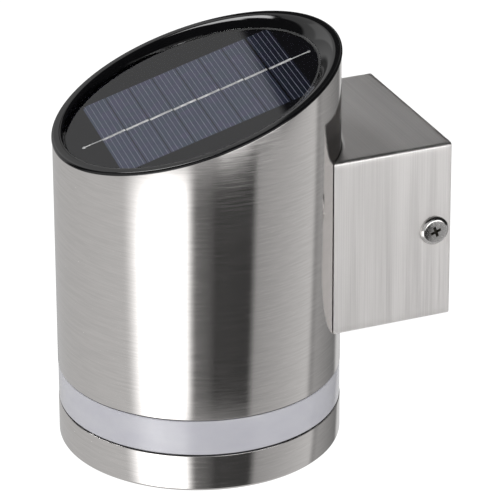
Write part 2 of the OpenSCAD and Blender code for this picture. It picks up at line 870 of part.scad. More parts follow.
// Pressed steel shell of the slide switch, on the inner face of the base plate
module switch_body() {
    z0 = plate_top + seat;
    at_lamp() color([0.7, 0.7, 0.68]) translate([0, switch_y, z0]) difference() {
        translate([-switch_w / 2, -switch_d / 2, 0]) cube([switch_w, switch_d, switch_h]);
        translate([-switch_w / 2 + switch_t, -switch_d / 2 + switch_t, -over])
            cube([switch_w - 2 * switch_t, switch_d - 2 * switch_t, switch_h - switch_t + over]);
    }
}

// The slide, shown in its off position
module switch_slide() {
    low = plate_low - knob_out;
    at_lamp() color([0.85, 0.85, 0.85]) translate([-switch_travel / 2, switch_y, 0]) {
        translate([-knob_w / 2, -knob_d / 2, low]) cube([knob_w, knob_d, plate_top - low + slot_slip]);
        translate([-collar_w / 2, -collar_d / 2, plate_top + slot_slip])
            cube([collar_w, collar_d, knob_collar_h]);
        for (i = [0 : knob_ribs - 1]) {
            x = ((i + 1 / 2) / knob_ribs - 1 / 2) * knob_w;
            translate([x - knob_rib / 2, -knob_d / 2, low - knob_rib]) cube([knob_rib, knob_d, 2 * knob_rib]);
        }
    }
}

module switch_leads() {
    top = plate_top + seat + switch_h;
    at_lamp() color([0.1, 0.1, 0.1])
        for (s = [-1, 1]) {
            wire([[s * lead_gap / 2, switch_y, top],
                [s * lead_gap / 2, switch_y, top + lead_bend + lead_r],
                [s * lead_gap / 2, switch_lead_y, top + lead_bend + lead_r + lead_rise],
                [s * lead_gap / 2, switch_lead_y, roof_low],
                [s * lead_gap / 2, switch_lead_in, pcb_low - lead_rise / 2],
                [s * lead_gap / 2, switch_lead_in, pcb_low]]);
        }
}

// Space that the tube takes, with a clearance around it
module tube_space(room) {
    translate([0, -axis_to_wall, -tall]) cylinder(r = tube_r + room, h = 2 * tall);
}

// Folded square box: open at the wall, its other end cut to the tube
module arm_box() {
    color([0.78, 0.77, 0.75]) difference() {
        rotate([90, 0, 0]) linear_extrude(axis_to_wall) difference() {
            rounded_square(arm_w, arm_h, arm_round);
            square([arm_w - 2 * arm_wall, arm_h - 2 * arm_wall], center = true);
        }
        tube_space(arm_slip);
        side_holes(bolt_r + hole_slip);
    }
}

module side_holes(r) {
    translate([0, -side_screw_y, 0]) rotate([0, 90, 0]) cylinder(r = r, h = 2 * arm_w, center = true);
}

// Curved plate inside the arm's front end, with two flanges along the arm's sides
module arm_saddle() {
    inner_w = arm_w - 2 * arm_wall - 2 * arm_slip;
    inner_h = arm_h - 2 * arm_wall - 2 * arm_slip;
    touch_y = -axis_to_wall + sqrt(pow(tube_r + arm_slip, 2) - pow(inner_w / 2, 2));
    color([0.7, 0.7, 0.7]) difference() {
        union() {
            intersection() {
                translate([0, -axis_to_wall, -inner_h / 2])
                    cylinder(r = tube_r + arm_slip + saddle_t, h = inner_h);
                translate([-inner_w / 2, -axis_to_wall, -inner_h / 2])
                    cube([inner_w, axis_to_wall, inner_h]);
            }
            for (s = [-1, 1]) {
                translate([s * (inner_w - saddle_t) / 2 - saddle_t / 2, touch_y - saddle_t, -inner_h / 2])
                    cube([saddle_t, saddle_reach + saddle_t, inner_h]);
            }
        }
        tube_space(arm_slip);
        translate([0, -axis_to_wall, foot_z]) bolt_holes(bolt_r + hole_slip);
    }
}

// Bolts from inside the tube; the flat head bears on the chassis tongue
module arm_bolts() {
    at_lamp() color([0.72, 0.72, 0.7])
        for (s = [-1, 1]) {
            translate([0, bolt_seat_y, arm_mid + s * bolt_pitch / 2]) rotate([90, 0, 0])
                pan_screw(bolt_r, nut_y + nut_t + bolt_past - bolt_seat_y, bolt_head_r, bolt_head_h, 1);
        }
}

module arm_nuts() {
    at_lamp() color([0.72, 0.72, 0.7])
        for (s = [-1, 1]) {
            translate([0, nut_y, arm_mid + s * bolt_pitch / 2]) rotate([-90, 0, 0])
                hex_nut(nut_across, nut_t, bolt_r + thread_slip);
        }
}

// Plate screwed to the wall, with a flange forward along each side of the arm
module wall_plate() {
    plate_w = arm_w - 2 * arm_wall - 2 * plate_slip;
    plate_h = arm_h - 2 * arm_wall - 2 * plate_slip;
    color([0.68, 0.68, 0.68]) difference() {
        union() {
            rotate([90, 0, 0]) rounded_plate(plate_w, plate_h, arm_round, arm_wall);
            for (s = [-1, 1]) {
                translate([s * (plate_w - arm_wall) / 2 - arm_wall / 2, -flange_reach / 2, 0])
                    rotate([90, 0, 90]) rounded_plate(flange_reach, flange_h, arm_round, arm_wall);
            }
        }
        for (s = [-1, 1]) {
            translate([0, over, s * wall_pitch / 2]) rotate([90, 0, 0])
                cylinder(d = wall_hole_d, h = arm_wall + 2 * over);
        }
        side_holes(bolt_r + hole_slip / 2);
    }
}

module flange_nuts() {
    color([0.72, 0.72, 0.7])
        for (s = [-1, 1]) {
            translate([s * (flange_in - seat), -side_screw_y, 0]) rotate([0, -s * 90, 0])
                hex_nut(nut_across, flange_nut_t, bolt_r + thread_slip);
        }
}

module side_screws() {
    color([0.8, 0.8, 0.8])
        for (s = [-1, 1]) {
            translate([s * (arm_w / 2 + seat), -side_screw_y, 0]) rotate([0, s * 90, 0])
                pan_screw(bolt_r, side_shank, bolt_head_r, bolt_head_h, 1);
        }
}

tube_body();
solar_bezel();
panel_seal();
panel_board();
solar_cells();
cell_ribbons();
panel_resin();
panel_leads();
chassis();
control_board();
board_screws();
charge_chip();
choke_coil();
board_capacitor();
contact_plates();
battery_left();
battery_right();
battery_springs();
battery_leads();
led_board();
leds();
led_leads();
reflector();
light_ring();
upper_gasket();
lower_gasket();
base_skirt();
base_plate();
base_screws();
battery_door();
door_seal();
door_screws();
switch_body();
switch_slide();
switch_leads();
arm_box();
arm_saddle();
arm_bolts();
arm_nuts();
wall_plate();
flange_nuts();
side_screws();
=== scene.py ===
# Solar fence light: brushed steel tube with a slanted solar head, a frosted ring and a square arm.
# Everything is in metres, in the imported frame: the wall is at y = 0, +Z is up.
import math

import bmesh
import bpy
import numpy as np
from mathutils import Matrix, Vector


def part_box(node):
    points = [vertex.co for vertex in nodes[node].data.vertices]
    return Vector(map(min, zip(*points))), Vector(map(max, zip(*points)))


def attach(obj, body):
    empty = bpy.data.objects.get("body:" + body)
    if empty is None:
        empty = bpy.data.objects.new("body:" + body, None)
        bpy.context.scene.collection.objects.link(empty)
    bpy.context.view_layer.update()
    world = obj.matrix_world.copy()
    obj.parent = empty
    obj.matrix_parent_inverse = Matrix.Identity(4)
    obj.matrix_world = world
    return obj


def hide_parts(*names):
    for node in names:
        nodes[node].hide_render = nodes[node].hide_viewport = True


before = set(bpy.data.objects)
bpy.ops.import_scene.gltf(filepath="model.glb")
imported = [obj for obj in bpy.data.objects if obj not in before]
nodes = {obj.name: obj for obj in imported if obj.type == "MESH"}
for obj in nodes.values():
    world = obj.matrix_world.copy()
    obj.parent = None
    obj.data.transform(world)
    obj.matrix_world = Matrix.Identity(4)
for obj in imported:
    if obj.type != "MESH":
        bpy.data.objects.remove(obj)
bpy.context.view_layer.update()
print("frame loaded:", len(nodes), "nodes")

mm = 0.001
scene = bpy.context.scene
scene.view_settings.view_transform = "Standard"

# Where the lamp stands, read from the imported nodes
tubeLow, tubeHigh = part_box("tube_body")
lamp = {
    "axisX": (tubeLow.x + tubeHigh.x) / 2,
    "axisY": (tubeLow.y + tubeHigh.y) / 2,
    "footZ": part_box("base_skirt")[0].z,
    "radius": (tubeHigh.x - tubeLow.x) / 2,
    "wall": 1.0 * mm,
    "cutHeight": 98.0 * mm,  # above the foot, on the tube's axis
    "cutAngle": math.radians(18),
    "cutTurn": math.radians(6),  # the head is turned this much about the axis, against the arm
}
slope = math.tan(lamp["cutAngle"])
lampFoot = np.array([lamp["axisX"], lamp["axisY"], lamp["footZ"]])
# Level ways up the slope and across it, then the ways up along the panel's face and out of it
uphill = np.array([math.sin(lamp["cutTurn"]), math.cos(lamp["cutTurn"]), 0.0])
across = np.array([math.cos(lamp["cutTurn"]), -math.sin(lamp["cutTurn"]), 0.0])
faceUp = uphill * math.cos(lamp["cutAngle"]) + np.array([0, 0, math.sin(lamp["cutAngle"])])
faceOut = np.array([0, 0, math.cos(lamp["cutAngle"])]) - uphill * math.sin(lamp["cutAngle"])


# Point on the lamp's axis at a height above the foot
def onAxis(height):
    return lampFoot + np.array([0, 0, height])


# Even angles round a full turn, with the first not repeated at the end
def fullTurn(count):
    return np.linspace(0, 2 * math.pi, count, endpoint=False)


def newObject(name, data):
    thing = bpy.data.objects.new(name, data)
    scene.collection.objects.link(thing)
    return thing


# Camera, with its angles in degrees
camera = {
    "azimuth": 67.1198,
    "elevation": 25.3374,
    "roll": -0.2394,
    "distance": 1.0361,
    "lens": 289.5,
    "sensor": 36.0,
    "nearest": 0.01,
    "farthest": 50.0,
    "aim": (34.536 * mm, -61.4988 * mm, 8.998 * mm),
    "picture": 500.0,  # pixels across the square picture
}


# right = (cos a, sin a, 0), back = (sin a cos e, -cos a cos e, sin e), up = back x right, turned by the roll
def cameraAxes():
    a, e, r = (math.radians(camera[k]) for k in ("azimuth", "elevation", "roll"))
    back = Vector((math.sin(a) * math.cos(e), -math.cos(a) * math.cos(e), math.sin(e)))
    right = Vector((math.cos(a), math.sin(a), 0))
    up = back.cross(right)
    return right * math.cos(r) + up * math.sin(r), up * math.cos(r) - right * math.sin(r), back


def placeCamera():
    right, up, back = cameraAxes()
    data = bpy.data.cameras.new("photoCamera")
    data.lens = camera["lens"]
    data.sensor_width = camera["sensor"]
    data.clip_start, data.clip_end = camera["nearest"], camera["farthest"]
    thing = newObject("photoCamera", data)
    turn = Matrix((right, up, back)).transposed().to_4x4()
    thing.matrix_world = Matrix.Translation(Vector(camera["aim"]) + back * camera["distance"]) @ turn
    scene.camera = thing


placeCamera()
print("camera placed")


# Shader maths as Python expressions: a Value is one output socket
class Value:
    def __init__(self, graph, socket):
        self.graph = graph
        self.socket = socket

    # Another output of the same node
    def output(self, name):
        return Value(self.graph, self.socket.node.outputs[name])

    def calc(self, operation, a, b):
        return self.graph.put("ShaderNodeMath", {"operation": operation}, {0: a, 1: b})

    def __add__(self, other):
        return self.calc("ADD", self, other)

    def __radd__(self, other):
        return self.calc("ADD", other, self)

    def __sub__(self, other):
        return self.calc("SUBTRACT", self, other)

    def __rsub__(self, other):
        return self.calc("SUBTRACT", other, self)

    def __mul__(self, other):
        return self.calc("MULTIPLY", self, other)

    def __rmul__(self, other):
        return self.calc("MULTIPLY", other, self)


# Short names for the inputs of the Principled shader
shaderInputs = {
    "base": "Base Color", "metal": "Metallic", "rough": "Roughness", "normal": "Normal", "ior": "IOR",
    "coat": "Coat Weight", "coatRough": "Coat Roughness", "alpha": "Alpha",
    "specular": "Specular IOR Level", "under": "Subsurface Weight", "underRadius": "Subsurface Radius",
    "underScale": "Subsurface Scale",
}


class Graph:
    def __init__(self, name, world=False):
        self.owner = bpy.data.worlds.new(name) if world else bpy.data.materials.new(name)
        self.owner.use_nodes = True
        self.tree = self.owner.node_tree
        self.tree.nodes.clear()

    # Adds a node: its settings first, then a value or a link for each named or numbered input
    def put(self, kind, settings=None, inputs=None, out=0):
        node = self.tree.nodes.new(kind)
        for key, value in (settings or {}).items():
            setattr(node, key, value)
        for key, value in (inputs or {}).items():
            if isinstance(value, Value):
                self.tree.links.new(value.socket, node.inputs[key])
            elif isinstance(value, tuple) and node.inputs[key].type == "RGBA":
                node.inputs[key].default_value = (*value, 1)
            else:
                node.inputs[key].default_value = value
        if node.outputs:
            return Value(self, node.outputs[out])

    def vector(self, operation, *given, out=0):
        return self.put("ShaderNodeVectorMath", {"operation": operation}, dict(enumerate(given)), out)

    # Object coordinates, times one scale or each axis times its own
    def scaled(self, *sizes):
        sizes = sizes if len(sizes) == 3 else sizes * 3
        return self.vector("MULTIPLY", self.put("ShaderNodeTexCoord", out="Object"), sizes)

    # Object coordinates, measured from a centre
    def placeFrom(self, centre):
        return self.vector("SUBTRACT", self.put("ShaderNodeTexCoord", out="Object"), tuple(centre))

    def noise(self, vector, detail=2.0):
        return self.put("ShaderNodeTexNoise", {}, {"Vector": vector, "Scale": 1.0, "Detail": detail})

    # 0 below low, 1 above high, smooth between them
    def step(self, value, low, high):
        return self.put("ShaderNodeMapRange", {"interpolation_type": "SMOOTHSTEP"},
                        {"Value": value, "From Min": low, "From Max": high})

    # 1 between low and high, fading over soft on both sides of each limit
    def band(self, value, low, high, soft):
        return self.step(value, low - soft, low + soft) - self.step(value, high - soft, high + soft)

    def mix(self, share, a, b):
        return self.put("ShaderNodeMix", {"data_type": "RGBA"}, {0: share, 6: a, 7: b}, out=2)

    def bump(self, height, strength, distance):
        return self.put("ShaderNodeBump", {}, {"Height": height, "Strength": strength, "Distance": distance})

    # Ends the graph in the output of a material or of the world
    def end(self, shader, kind="Material"):
        self.put("ShaderNodeOutput" + kind, {}, {"Surface": shader})
        return self.owner

    def principled(self, **given):
        inputs = {shaderInputs[key]: value for key, value in given.items()}
        return self.end(self.put("ShaderNodeBsdfPrincipled", {}, inputs))

    # Finish of a look: its two tones mixed by shade, its roughness spread by grain, its bump from height
    def finish(self, look, shade, grain, height=None, **more):
        if height:
            more["normal"] = self.bump(height, look["bump"], look["depth"])
        return self.principled(base=self.mix(shade, *look["tones"]),
                               rough=grain * look["roughSpread"] + look["rough"], **more)


# Finishes. Scales are changes a metre, for x, y and z where there are three
# Brushed steel: noise drawn out into hair lines, round the tube, and on the arm upright on its sides and
# across its top. A coarser noise is mixed in by its share, and contrast is half the width of the step
steelLooks = {
    "tubeSteel": {"tones": ((0.66, 0.64, 0.625), (0.73, 0.705, 0.69)),
                  "hair": (55.0, 55.0, 5200.0), "coarse": (165.0, 165.0, 1500.0), "share": 0.4,
                  "contrast": 0.15, "rough": 0.075, "roughSpread": 0.05,
                  "bump": 0.35, "depth": 0.0006 * mm},
    # the arm's steel: its brushing and roughness are its own, its tones paler than the tube's as painted
    # light on the arm
    "armSteelLit": {"tones": ((0.85, 0.825, 0.81), (0.95, 0.925, 0.91)),
                 "hair": (28.0, 5200.0, 28.0), "coarse": (12.0, 260.0, 12.0), "share": 0.35,
                 "contrast": 0.17, "rough": 0.36, "roughSpread": 0.12,
                 "bump": 0.5, "depth": 0.004 * mm},
}


def brushedSteel(name):
    g, look = Graph(name), steelLooks[name]
    hair = g.noise(g.scaled(*look["hair"]), detail=3.0)
    coarse = g.noise(g.scaled(*look["coarse"]))
    lines = hair * (1 - look["share"]) + coarse * look["share"]
    shade = g.step(lines, 0.5 - look["contrast"], 0.5 + look["contrast"])
    return g.finish(look, shade, shade, hair, metal=1.0)


# Black gloss moulding: deep black with a faint orange peel and fine dust
glossLook = {
    "tones": ((0.002, 0.002, 0.0025), (0.004, 0.004, 0.0045)), "peel": 350.0, "dust": 9000.0,
    "rough": 0.04, "roughSpread": 0.03, "bump": 0.15, "depth": 0.004 * mm,
}


def blackGloss():
    g, look = Graph("blackGloss"), glossLook
    peel = g.noise(g.scaled(look["peel"]))
    dust = g.noise(g.scaled(look["dust"]), detail=1.0)
    return g.finish(look, peel, dust, peel)


# Frosted ring: pale lilac plastic with a fine grain, some light in its depth and soft gloss
ringLook = {
    "tones": ((0.55, 0.545, 0.61), (0.66, 0.66, 0.70)), "cloud": (120.0, 120.0, 260.0), "grain": 9000.0,
    "rough": 0.30, "roughSpread": 0.12, "bump": 0.12, "depth": 0.01 * mm, "coatRough": 0.10,
    "under": 0.35, "underRadius": (1.0, 1.0, 1.1), "underScale": 1.5 * mm,
}


def frostedRing():
    g, look = Graph("frostedRing"), ringLook
    grain = g.noise(g.scaled(look["grain"]), detail=1.0)
    cloud = g.noise(g.scaled(*look["cloud"]), detail=3.0)
    return g.finish(look, cloud, grain, grain, coat=1.0, coatRough=look["coatRough"], under=look["under"],
                    underRadius=look["underRadius"], underScale=look["underScale"])


# Along the cells, up the slope and through the panel, from the middle of the cut, each times its scale
def headCoordinates(g, sizes):
    turn = (lamp["cutAngle"], 0, -lamp["cutTurn"])
    moved = g.placeFrom(onAxis(lamp["cutHeight"]))
    turned = g.put("ShaderNodeMapping", {"vector_type": "TEXTURE"}, {"Vector": moved, "Rotation": turn})
    return g.vector("MULTIPLY", turned, sizes)


# Solar cells: patches of crystal in slate blue and violet, with fine threads along the cells
cellLook = {
    "colours": ((0.030, 0.046, 0.135), (0.078, 0.068, 0.190), (0.034, 0.078, 0.140)),
    "patch": (420.0, 420.0, 0.0),
    "thread": (0.075, 0.08, 0.155), "threads": (400.0, 5200.0, 0.0), "threadShare": 0.5,
    "metal": 0.92, "rough": 0.045, "roughSpread": 0.05,
}


def solarCell():
    g, look = Graph("solarCell"), cellLook
    patches = {"Vector": headCoordinates(g, look["patch"]), "Scale": 1.0}
    tone = g.put("ShaderNodeTexVoronoi", {"feature": "F1"}, patches, out="Color")
    red = g.put("ShaderNodeSeparateColor", {}, {"Color": tone})
    threads = g.noise(headCoordinates(g, look["threads"]))
    first, second, third = look["colours"]
    base = g.mix(red.output("Green"), g.mix(red, first, second), third)
    return g.principled(
        base=g.mix(threads * look["threadShare"], base, look["thread"]),
        metal=look["metal"],
        rough=threads * look["roughSpread"] + look["rough"],
    )


# Tinned ribbon: soldered, a little lumpy and dull in patches
ribbonLook = {
    "tones": ((0.55, 0.55, 0.56), (0.95, 0.95, 0.95)), "solder": (900.0, 500.0, 900.0),
    "patches": (0.35, 0.65), "metal": 0.35, "rough": 0.3, "roughSpread": 0.25,
    "bump": 0.4, "depth": 0.05 * mm,
}


def tabRibbon():
    g, look = Graph("tabRibbon"), ribbonLook
    solder = g.noise(headCoordinates(g, look["solder"]), detail=3.0)
    return g.finish(look, g.step(solder, *look["patches"]), solder, solder, metal=look["metal"])


# Printed finger lines and the board under them: two tones and no gloss, which the resin's face gives
printLooks = {
    "fingerInk": {"tones": ((0.14, 0.15, 0.20), (0.38, 0.40, 0.47)), "wear": (260.0, 1200.0, 0.0),
                  "detail": 3.0, "rough": 0.4, "roughSpread": 0.1},
    "panelBlack": {"tones": ((0.002, 0.002, 0.004), (0.004, 0.004, 0.007)), "wear": (700.0, 700.0, 700.0),
                   "detail": 2.0, "rough": 0.4, "roughSpread": 0.1},
}


def printFinish(name):
    g, look = Graph(name), printLooks[name]
    wear = g.noise(headCoordinates(g, look["wear"]), look["detail"])
    return g.finish(look, wear, wear, specular=0.0)


# Clear casting: a dark film that hides a third of what lies below it and mirrors strongly, from outside
resinLook = {
    "tones": ((0.002, 0.002, 0.003), (0.004, 0.004, 0.005)), "haze": 300.0,
    "rough": 0.01, "roughSpread": 0.01, "hides": 0.34, "ior": 3.0,
}


def clearResin():
    g, look = Graph("clearResin"), resinLook
    haze = g.noise(g.scaled(look["haze"]))
    inside = g.put("ShaderNodeNewGeometry", out="Backfacing")
    return g.finish(look, haze, haze, alpha=(1 - inside) * look["hides"], ior=look["ior"])


# One recipe for the plainer finishes: two tones mixed by noise, a roughness range and a fine bump. Each has
# its dark and pale tone, the noise's changes a metre, its lowest and highest roughness, bump and metal
plainLooks = {
    "brightScrews": ((0.56, 0.55, 0.54), (0.66, 0.65, 0.64), 1800.0, 0.1, 0.18, 0.05, 1.0),
    # cross recesses of the screws: dark steel that paints the shade in them
    "paintedShadeRecess": ((0.035, 0.033, 0.026), (0.06, 0.056, 0.045), 2600.0, 0.45, 0.6, 0.1, 0.6),
    "zincSteel": ((0.52, 0.53, 0.54), (0.66, 0.67, 0.68), 420.0, 0.3, 0.48, 0.1, 1.0),
    "blackPlastic": ((0.016, 0.016, 0.018), (0.024, 0.024, 0.026), 7000.0, 0.42, 0.58, 0.25, 0.0),
    "whitePlastic": ((0.74, 0.74, 0.73), (0.8, 0.8, 0.79), 2600.0, 0.3, 0.42, 0.1, 0.0),
    "boardGreen": ((0.01, 0.1, 0.03), (0.018, 0.15, 0.045), 900.0, 0.28, 0.42, 0.15, 0.0),
    "boardWhite": ((0.72, 0.72, 0.7), (0.8, 0.8, 0.78), 900.0, 0.3, 0.42, 0.1, 0.0),
    "chipBlack": ((0.012, 0.012, 0.013), (0.02, 0.02, 0.022), 5200.0, 0.45, 0.6, 0.25, 0.0),
    "ferrite": ((0.1, 0.045, 0.018), (0.3, 0.13, 0.05), 2600.0, 0.3, 0.45, 0.45, 0.3),
    "capSleeve": ((0.02, 0.03, 0.12), (0.03, 0.045, 0.16), 900.0, 0.2, 0.32, 0.1, 0.0),
    "nickel": ((0.62, 0.58, 0.52), (0.74, 0.7, 0.63), 1500.0, 0.16, 0.3, 0.1, 1.0),
    "batterySleeve": ((0.03, 0.2, 0.06), (0.045, 0.26, 0.085), 500.0, 0.22, 0.34, 0.08, 0.0),
    "blackRubber": ((0.01, 0.01, 0.012), (0.018, 0.018, 0.02), 4200.0, 0.55, 0.75, 0.3, 0.0),
    "redWire": ((0.36, 0.014, 0.012), (0.46, 0.025, 0.02), 800.0, 0.34, 0.46, 0.15, 0.0),
    "blueWire": ((0.014, 0.02, 0.3), (0.025, 0.034, 0.38), 800.0, 0.34, 0.46, 0.15, 0.0),
    "blackWire": ((0.012, 0.012, 0.012), (0.02, 0.02, 0.02), 800.0, 0.34, 0.46, 0.15, 0.0),
    "diode": ((0.74, 0.66, 0.22), (0.82, 0.76, 0.34), 2600.0, 0.25, 0.35, 0.1, 0.0),
}
plainGrain = {"low": 0.3, "high": 0.7, "depth": 0.02 * mm}


def plainFinish(name):
    g = Graph(name)
    dark, pale, scale, glossy, dull, bump, metal = plainLooks[name]
    grain = g.noise(g.scaled(scale), detail=3.0)
    shade = g.step(grain, plainGrain["low"], plainGrain["high"])
    return g.principled(
        base=g.mix(shade, dark, pale),
        metal=metal,
        rough=shade * (dull - glossy) + glossy,
        normal=g.bump(grain, bump, plainGrain["depth"]),
    )


finishes = {name: plainFinish(name) for name in plainLooks}
finishes.update({name: brushedSteel(name) for name in steelLooks})
finishes.update({name: printFinish(name) for name in printLooks})
finishes.update({
    "blackGloss": blackGloss(),
    "frostedRing": frostedRing(),
    "solarCell": solarCell(),
    "tabRibbon": tabRibbon(),
    "clearResin": clearResin(),
})
print("finishes made:", len(finishes))


# Mesh tools
merging = 0.0005 * mm  # points nearer than this become one


# Quads between neighbouring rows and columns of a grid of points, closed round where asked
def gridFaces(rows, cols, closeRows, closeCols):
    i = np.arange(rows if closeRows else rows - 1)
    j = np.arange(cols if closeCols else cols - 1)
    a, b = np.meshgrid(i, j, indexing="ij")
    c, d = (a + 1) % rows, (b + 1) % cols
    return np.stack([a * cols + b, a * cols + d, c * cols + d, c * cols + b], -1).reshape(-1, 4)


# A part is the points and faces of one grid (rows, cols, 3)
def part(grid, closeRows=True, closeCols=True):
    rows, cols = grid.shape[:2]
    return grid.reshape(-1, 3), gridFaces(rows, cols, closeRows, closeCols)


# Parts of a grid with open ends, each end closed by a fan of faces round the middle of its row
def cappedParts(grid):
    ends = [np.stack([row, np.broadcast_to(row.mean(0), row.shape)]) for row in (grid[0], grid[-1])]
    return [part(rows, closeRows=False) for rows in (grid, *ends)]


# Joins parts into one mesh, merges seams and poles, and turns its faces outwards
def joinedMesh(name, parts):
    points = np.concatenate([p for p, f in parts])
    starts = np.cumsum([0] + [len(p) for p, f in parts[:-1]])
    faces = np.concatenate([f + s for (p, f), s in zip(parts, starts)])
    mesh = bpy.data.meshes.new(name)
    mesh.from_pydata(points.tolist(), [], faces.tolist())
    work = bmesh.new()
    work.from_mesh(mesh)
    bmesh.ops.remove_doubles(work, verts=work.verts, dist=merging)
    bmesh.ops.recalc_face_normals(work, faces=work.faces)
    work.to_mesh(mesh)
    work.free()
    return mesh


# Smooth shading that keeps edges above crease, in degrees, sharp
def smooth(mesh, crease=32):
    mesh.shade_smooth()
    mesh.set_sharp_from_angle(angle=math.radians(crease))


# Makes a piece of parts, with its finish, under its body, and hides the nodes that it stands for
def makePiece(name, parts, finish, replaced=(), body="lamp", crease=32):
    mesh = joinedMesh(name, parts)
    mesh.validate()
    smooth(mesh, crease)
    mesh.materials.append(finishes[finish])
    piece = newObject(name, mesh)
    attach(piece, body)
    if replaced:
        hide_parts(*replaced)
    return piece


# Closed outline with each corner that has a radius replaced by an arc that touches both its sides
def filleted(corners, radii, steps=6):
    corners = np.array(corners, float)
    out = []
    for k, (corner, r) in enumerate(zip(corners, radii)):
        if r == 0:
            out.append(corner[None])
            continue
        a = corners[k - 1] - corner
        b = corners[(k + 1) % len(corners)] - corner
        a, b = a / np.linalg.norm(a), b / np.linalg.norm(b)
        half = math.acos(np.clip(a @ b, -1, 1)) / 2
        middle = corner + (a + b) / np.linalg.norm(a + b) * r / math.sin(half)
        start = corner + a * r / math.tan(half) - middle
        end = corner + b * r / math.tan(half) - middle
        t = np.linspace(0, 1, steps + 1)[:, None]
        sweep = math.pi - 2 * half
        arc = (np.sin((1 - t) * sweep) * start + np.sin(t * sweep) * end) / math.sin(sweep)
        out.append(middle + arc)
    return np.concatenate(out)


# Profile of radius and height turned about the lamp's axis. Each point may follow the cut, by its share,
# and may lie down the slope from the axis, by its slide:
# x = r cos a - slide * uphill x, y = r sin a - slide * uphill y, z = h + follow * slope * (way uphill)
def revolved(profile, follow=0.0, slide=0.0, turns=256):
    a = fullTurn(turns)
    r, h = profile[:, 0, None], profile[:, 1, None]
    follow, slide = (np.broadcast_to(np.asarray(k, float).reshape(-1, 1), r.shape) for k in (follow, slide))
    x, y = r * np.cos(a) - slide * uphill[0], r * np.sin(a) - slide * uphill[1]
    z = h + follow * slope * (x * uphill[0] + y * uphill[1])
    return np.stack([x, y, z], -1) + lampFoot


# Outline of a plain ring, with its four edges rounded
def ringProfile(outer, inner, low, high, edge):
    return filleted([(outer, low), (outer, high), (inner, high), (inner, low)], [edge] * 4, 4)


# Steel tube: straight wall from the ring's gasket up to the cut, with broken edges
tube = {"low": 21.0 * mm, "edge": 0.15 * mm}


def makeTube():
    low, high = tube["low"], lamp["cutHeight"]
    profile = ringProfile(lamp["radius"], lamp["radius"] - lamp["wall"], low, high, tube["edge"])
    follow = profile[:, 1] > (low + high) / 2
    makePiece("tubeShell", [part(revolved(profile, follow))], "tubeSteel", ["tube_body"])


# Steel skirt: drawn cup with a knee at the foot and a flange turned in
skirt = {"height": 10.4 * mm, "knee": 0.8 * mm, "flange": 3.0 * mm, "edge": 0.15 * mm, "steps": 8}


def makeSkirt():
    outer, wall, high, edge = lamp["radius"], lamp["wall"], skirt["height"], skirt["edge"]
    inner = outer - wall
    tip = inner - skirt["flange"]
    profile = filleted([(tip, wall), (tip, 0), (outer, 0), (outer, high), (inner, high), (inner, wall)],
                       [edge, edge, skirt["knee"], edge, edge, 0], skirt["steps"])
    makePiece("skirtShell", [part(revolved(profile))], "tubeSteel", ["base_skirt"])


# Frosted ring: band between the gaskets, with a spigot into the tube and one into the skirt
ring = {
    "low": 10.7 * mm,
    "high": 20.7 * mm,
    "outside": 37.9 * mm,
    "inside": 35.9 * mm,
    "spigotOut": 36.85 * mm,
    "spigotIn": 35.05 * mm,
    "spigot": 3.4 * mm,
    "round": 0.35 * mm,
}


def makeRing():
    low, high, step = ring["low"], ring["high"], ring["outside"] - ring["inside"]
    corners = [(ring["outside"], low), (ring["outside"], high), (ring["spigotOut"], high),
               (ring["spigotOut"], high + ring["spigot"]), (ring["spigotIn"], high + ring["spigot"]),
               (ring["inside"], high - step), (ring["inside"], low + step),
               (ring["spigotIn"], low - ring["spigot"]), (ring["spigotOut"], low - ring["spigot"]),
               (ring["spigotOut"], low)]
    profile = filleted(corners, [ring["round"]] * 2 + [0] * 8)
    makePiece("lightRing", [part(revolved(profile))], "frostedRing", ["light_ring"])


# Rubber gaskets: flat rings with rounded edges that show as thin dark lines
gasket = {"thick": 0.3 * mm, "outside": 37.75 * mm, "inside": 37.05 * mm, "round": 0.12 * mm}


def makeGasket(name, node):
    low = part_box(node)[0].z - lamp["footZ"]
    profile = ringProfile(gasket["outside"], gasket["inside"], low, low + gasket["thick"], gasket["round"])
    makePiece(name, [part(revolved(profile))], "blackRubber", [node])


# Layers of the panel, square to its face. Its rim lies drop below the steel's edge, upright
layers = {"drop": 1.1 * mm, "resin": 0.865 * mm, "board": 1.2 * mm, "seal": 0.8 * mm}
# Bezel: heights are upright from the steel's edge, and every point follows the cut
bezel = {
    "crestOut": 38.2 * mm,
    "crestIn": 36.45 * mm,
    "rise": 0.8 * mm,
    "round": 0.6 * mm,
    "roundSteps": 14,
    "hollow": 2.2,  # power that bends the bowl's wall, flat at the crest and steep at the window
    "hollowSteps": 36,
    "window": 33.8 * mm,
    "shift": 1.3 * mm,  # the window's middle lies this far down the slope, taken level
    "gap": 0.05 * mm,  # over the steel's edge
    "ledge": 1.6 * mm,
    "skirt": 2.0 * mm,  # below the ledge
    "skirtOut": 36.85 * mm,
    "skirtIn": 35.25 * mm,
}


# Upright height, from the steel's edge, of the underside of the panel's first few layers
def under(*names):
    return -layers["drop"] - sum(layers[name] for name in names) / math.cos(lamp["cutAngle"])


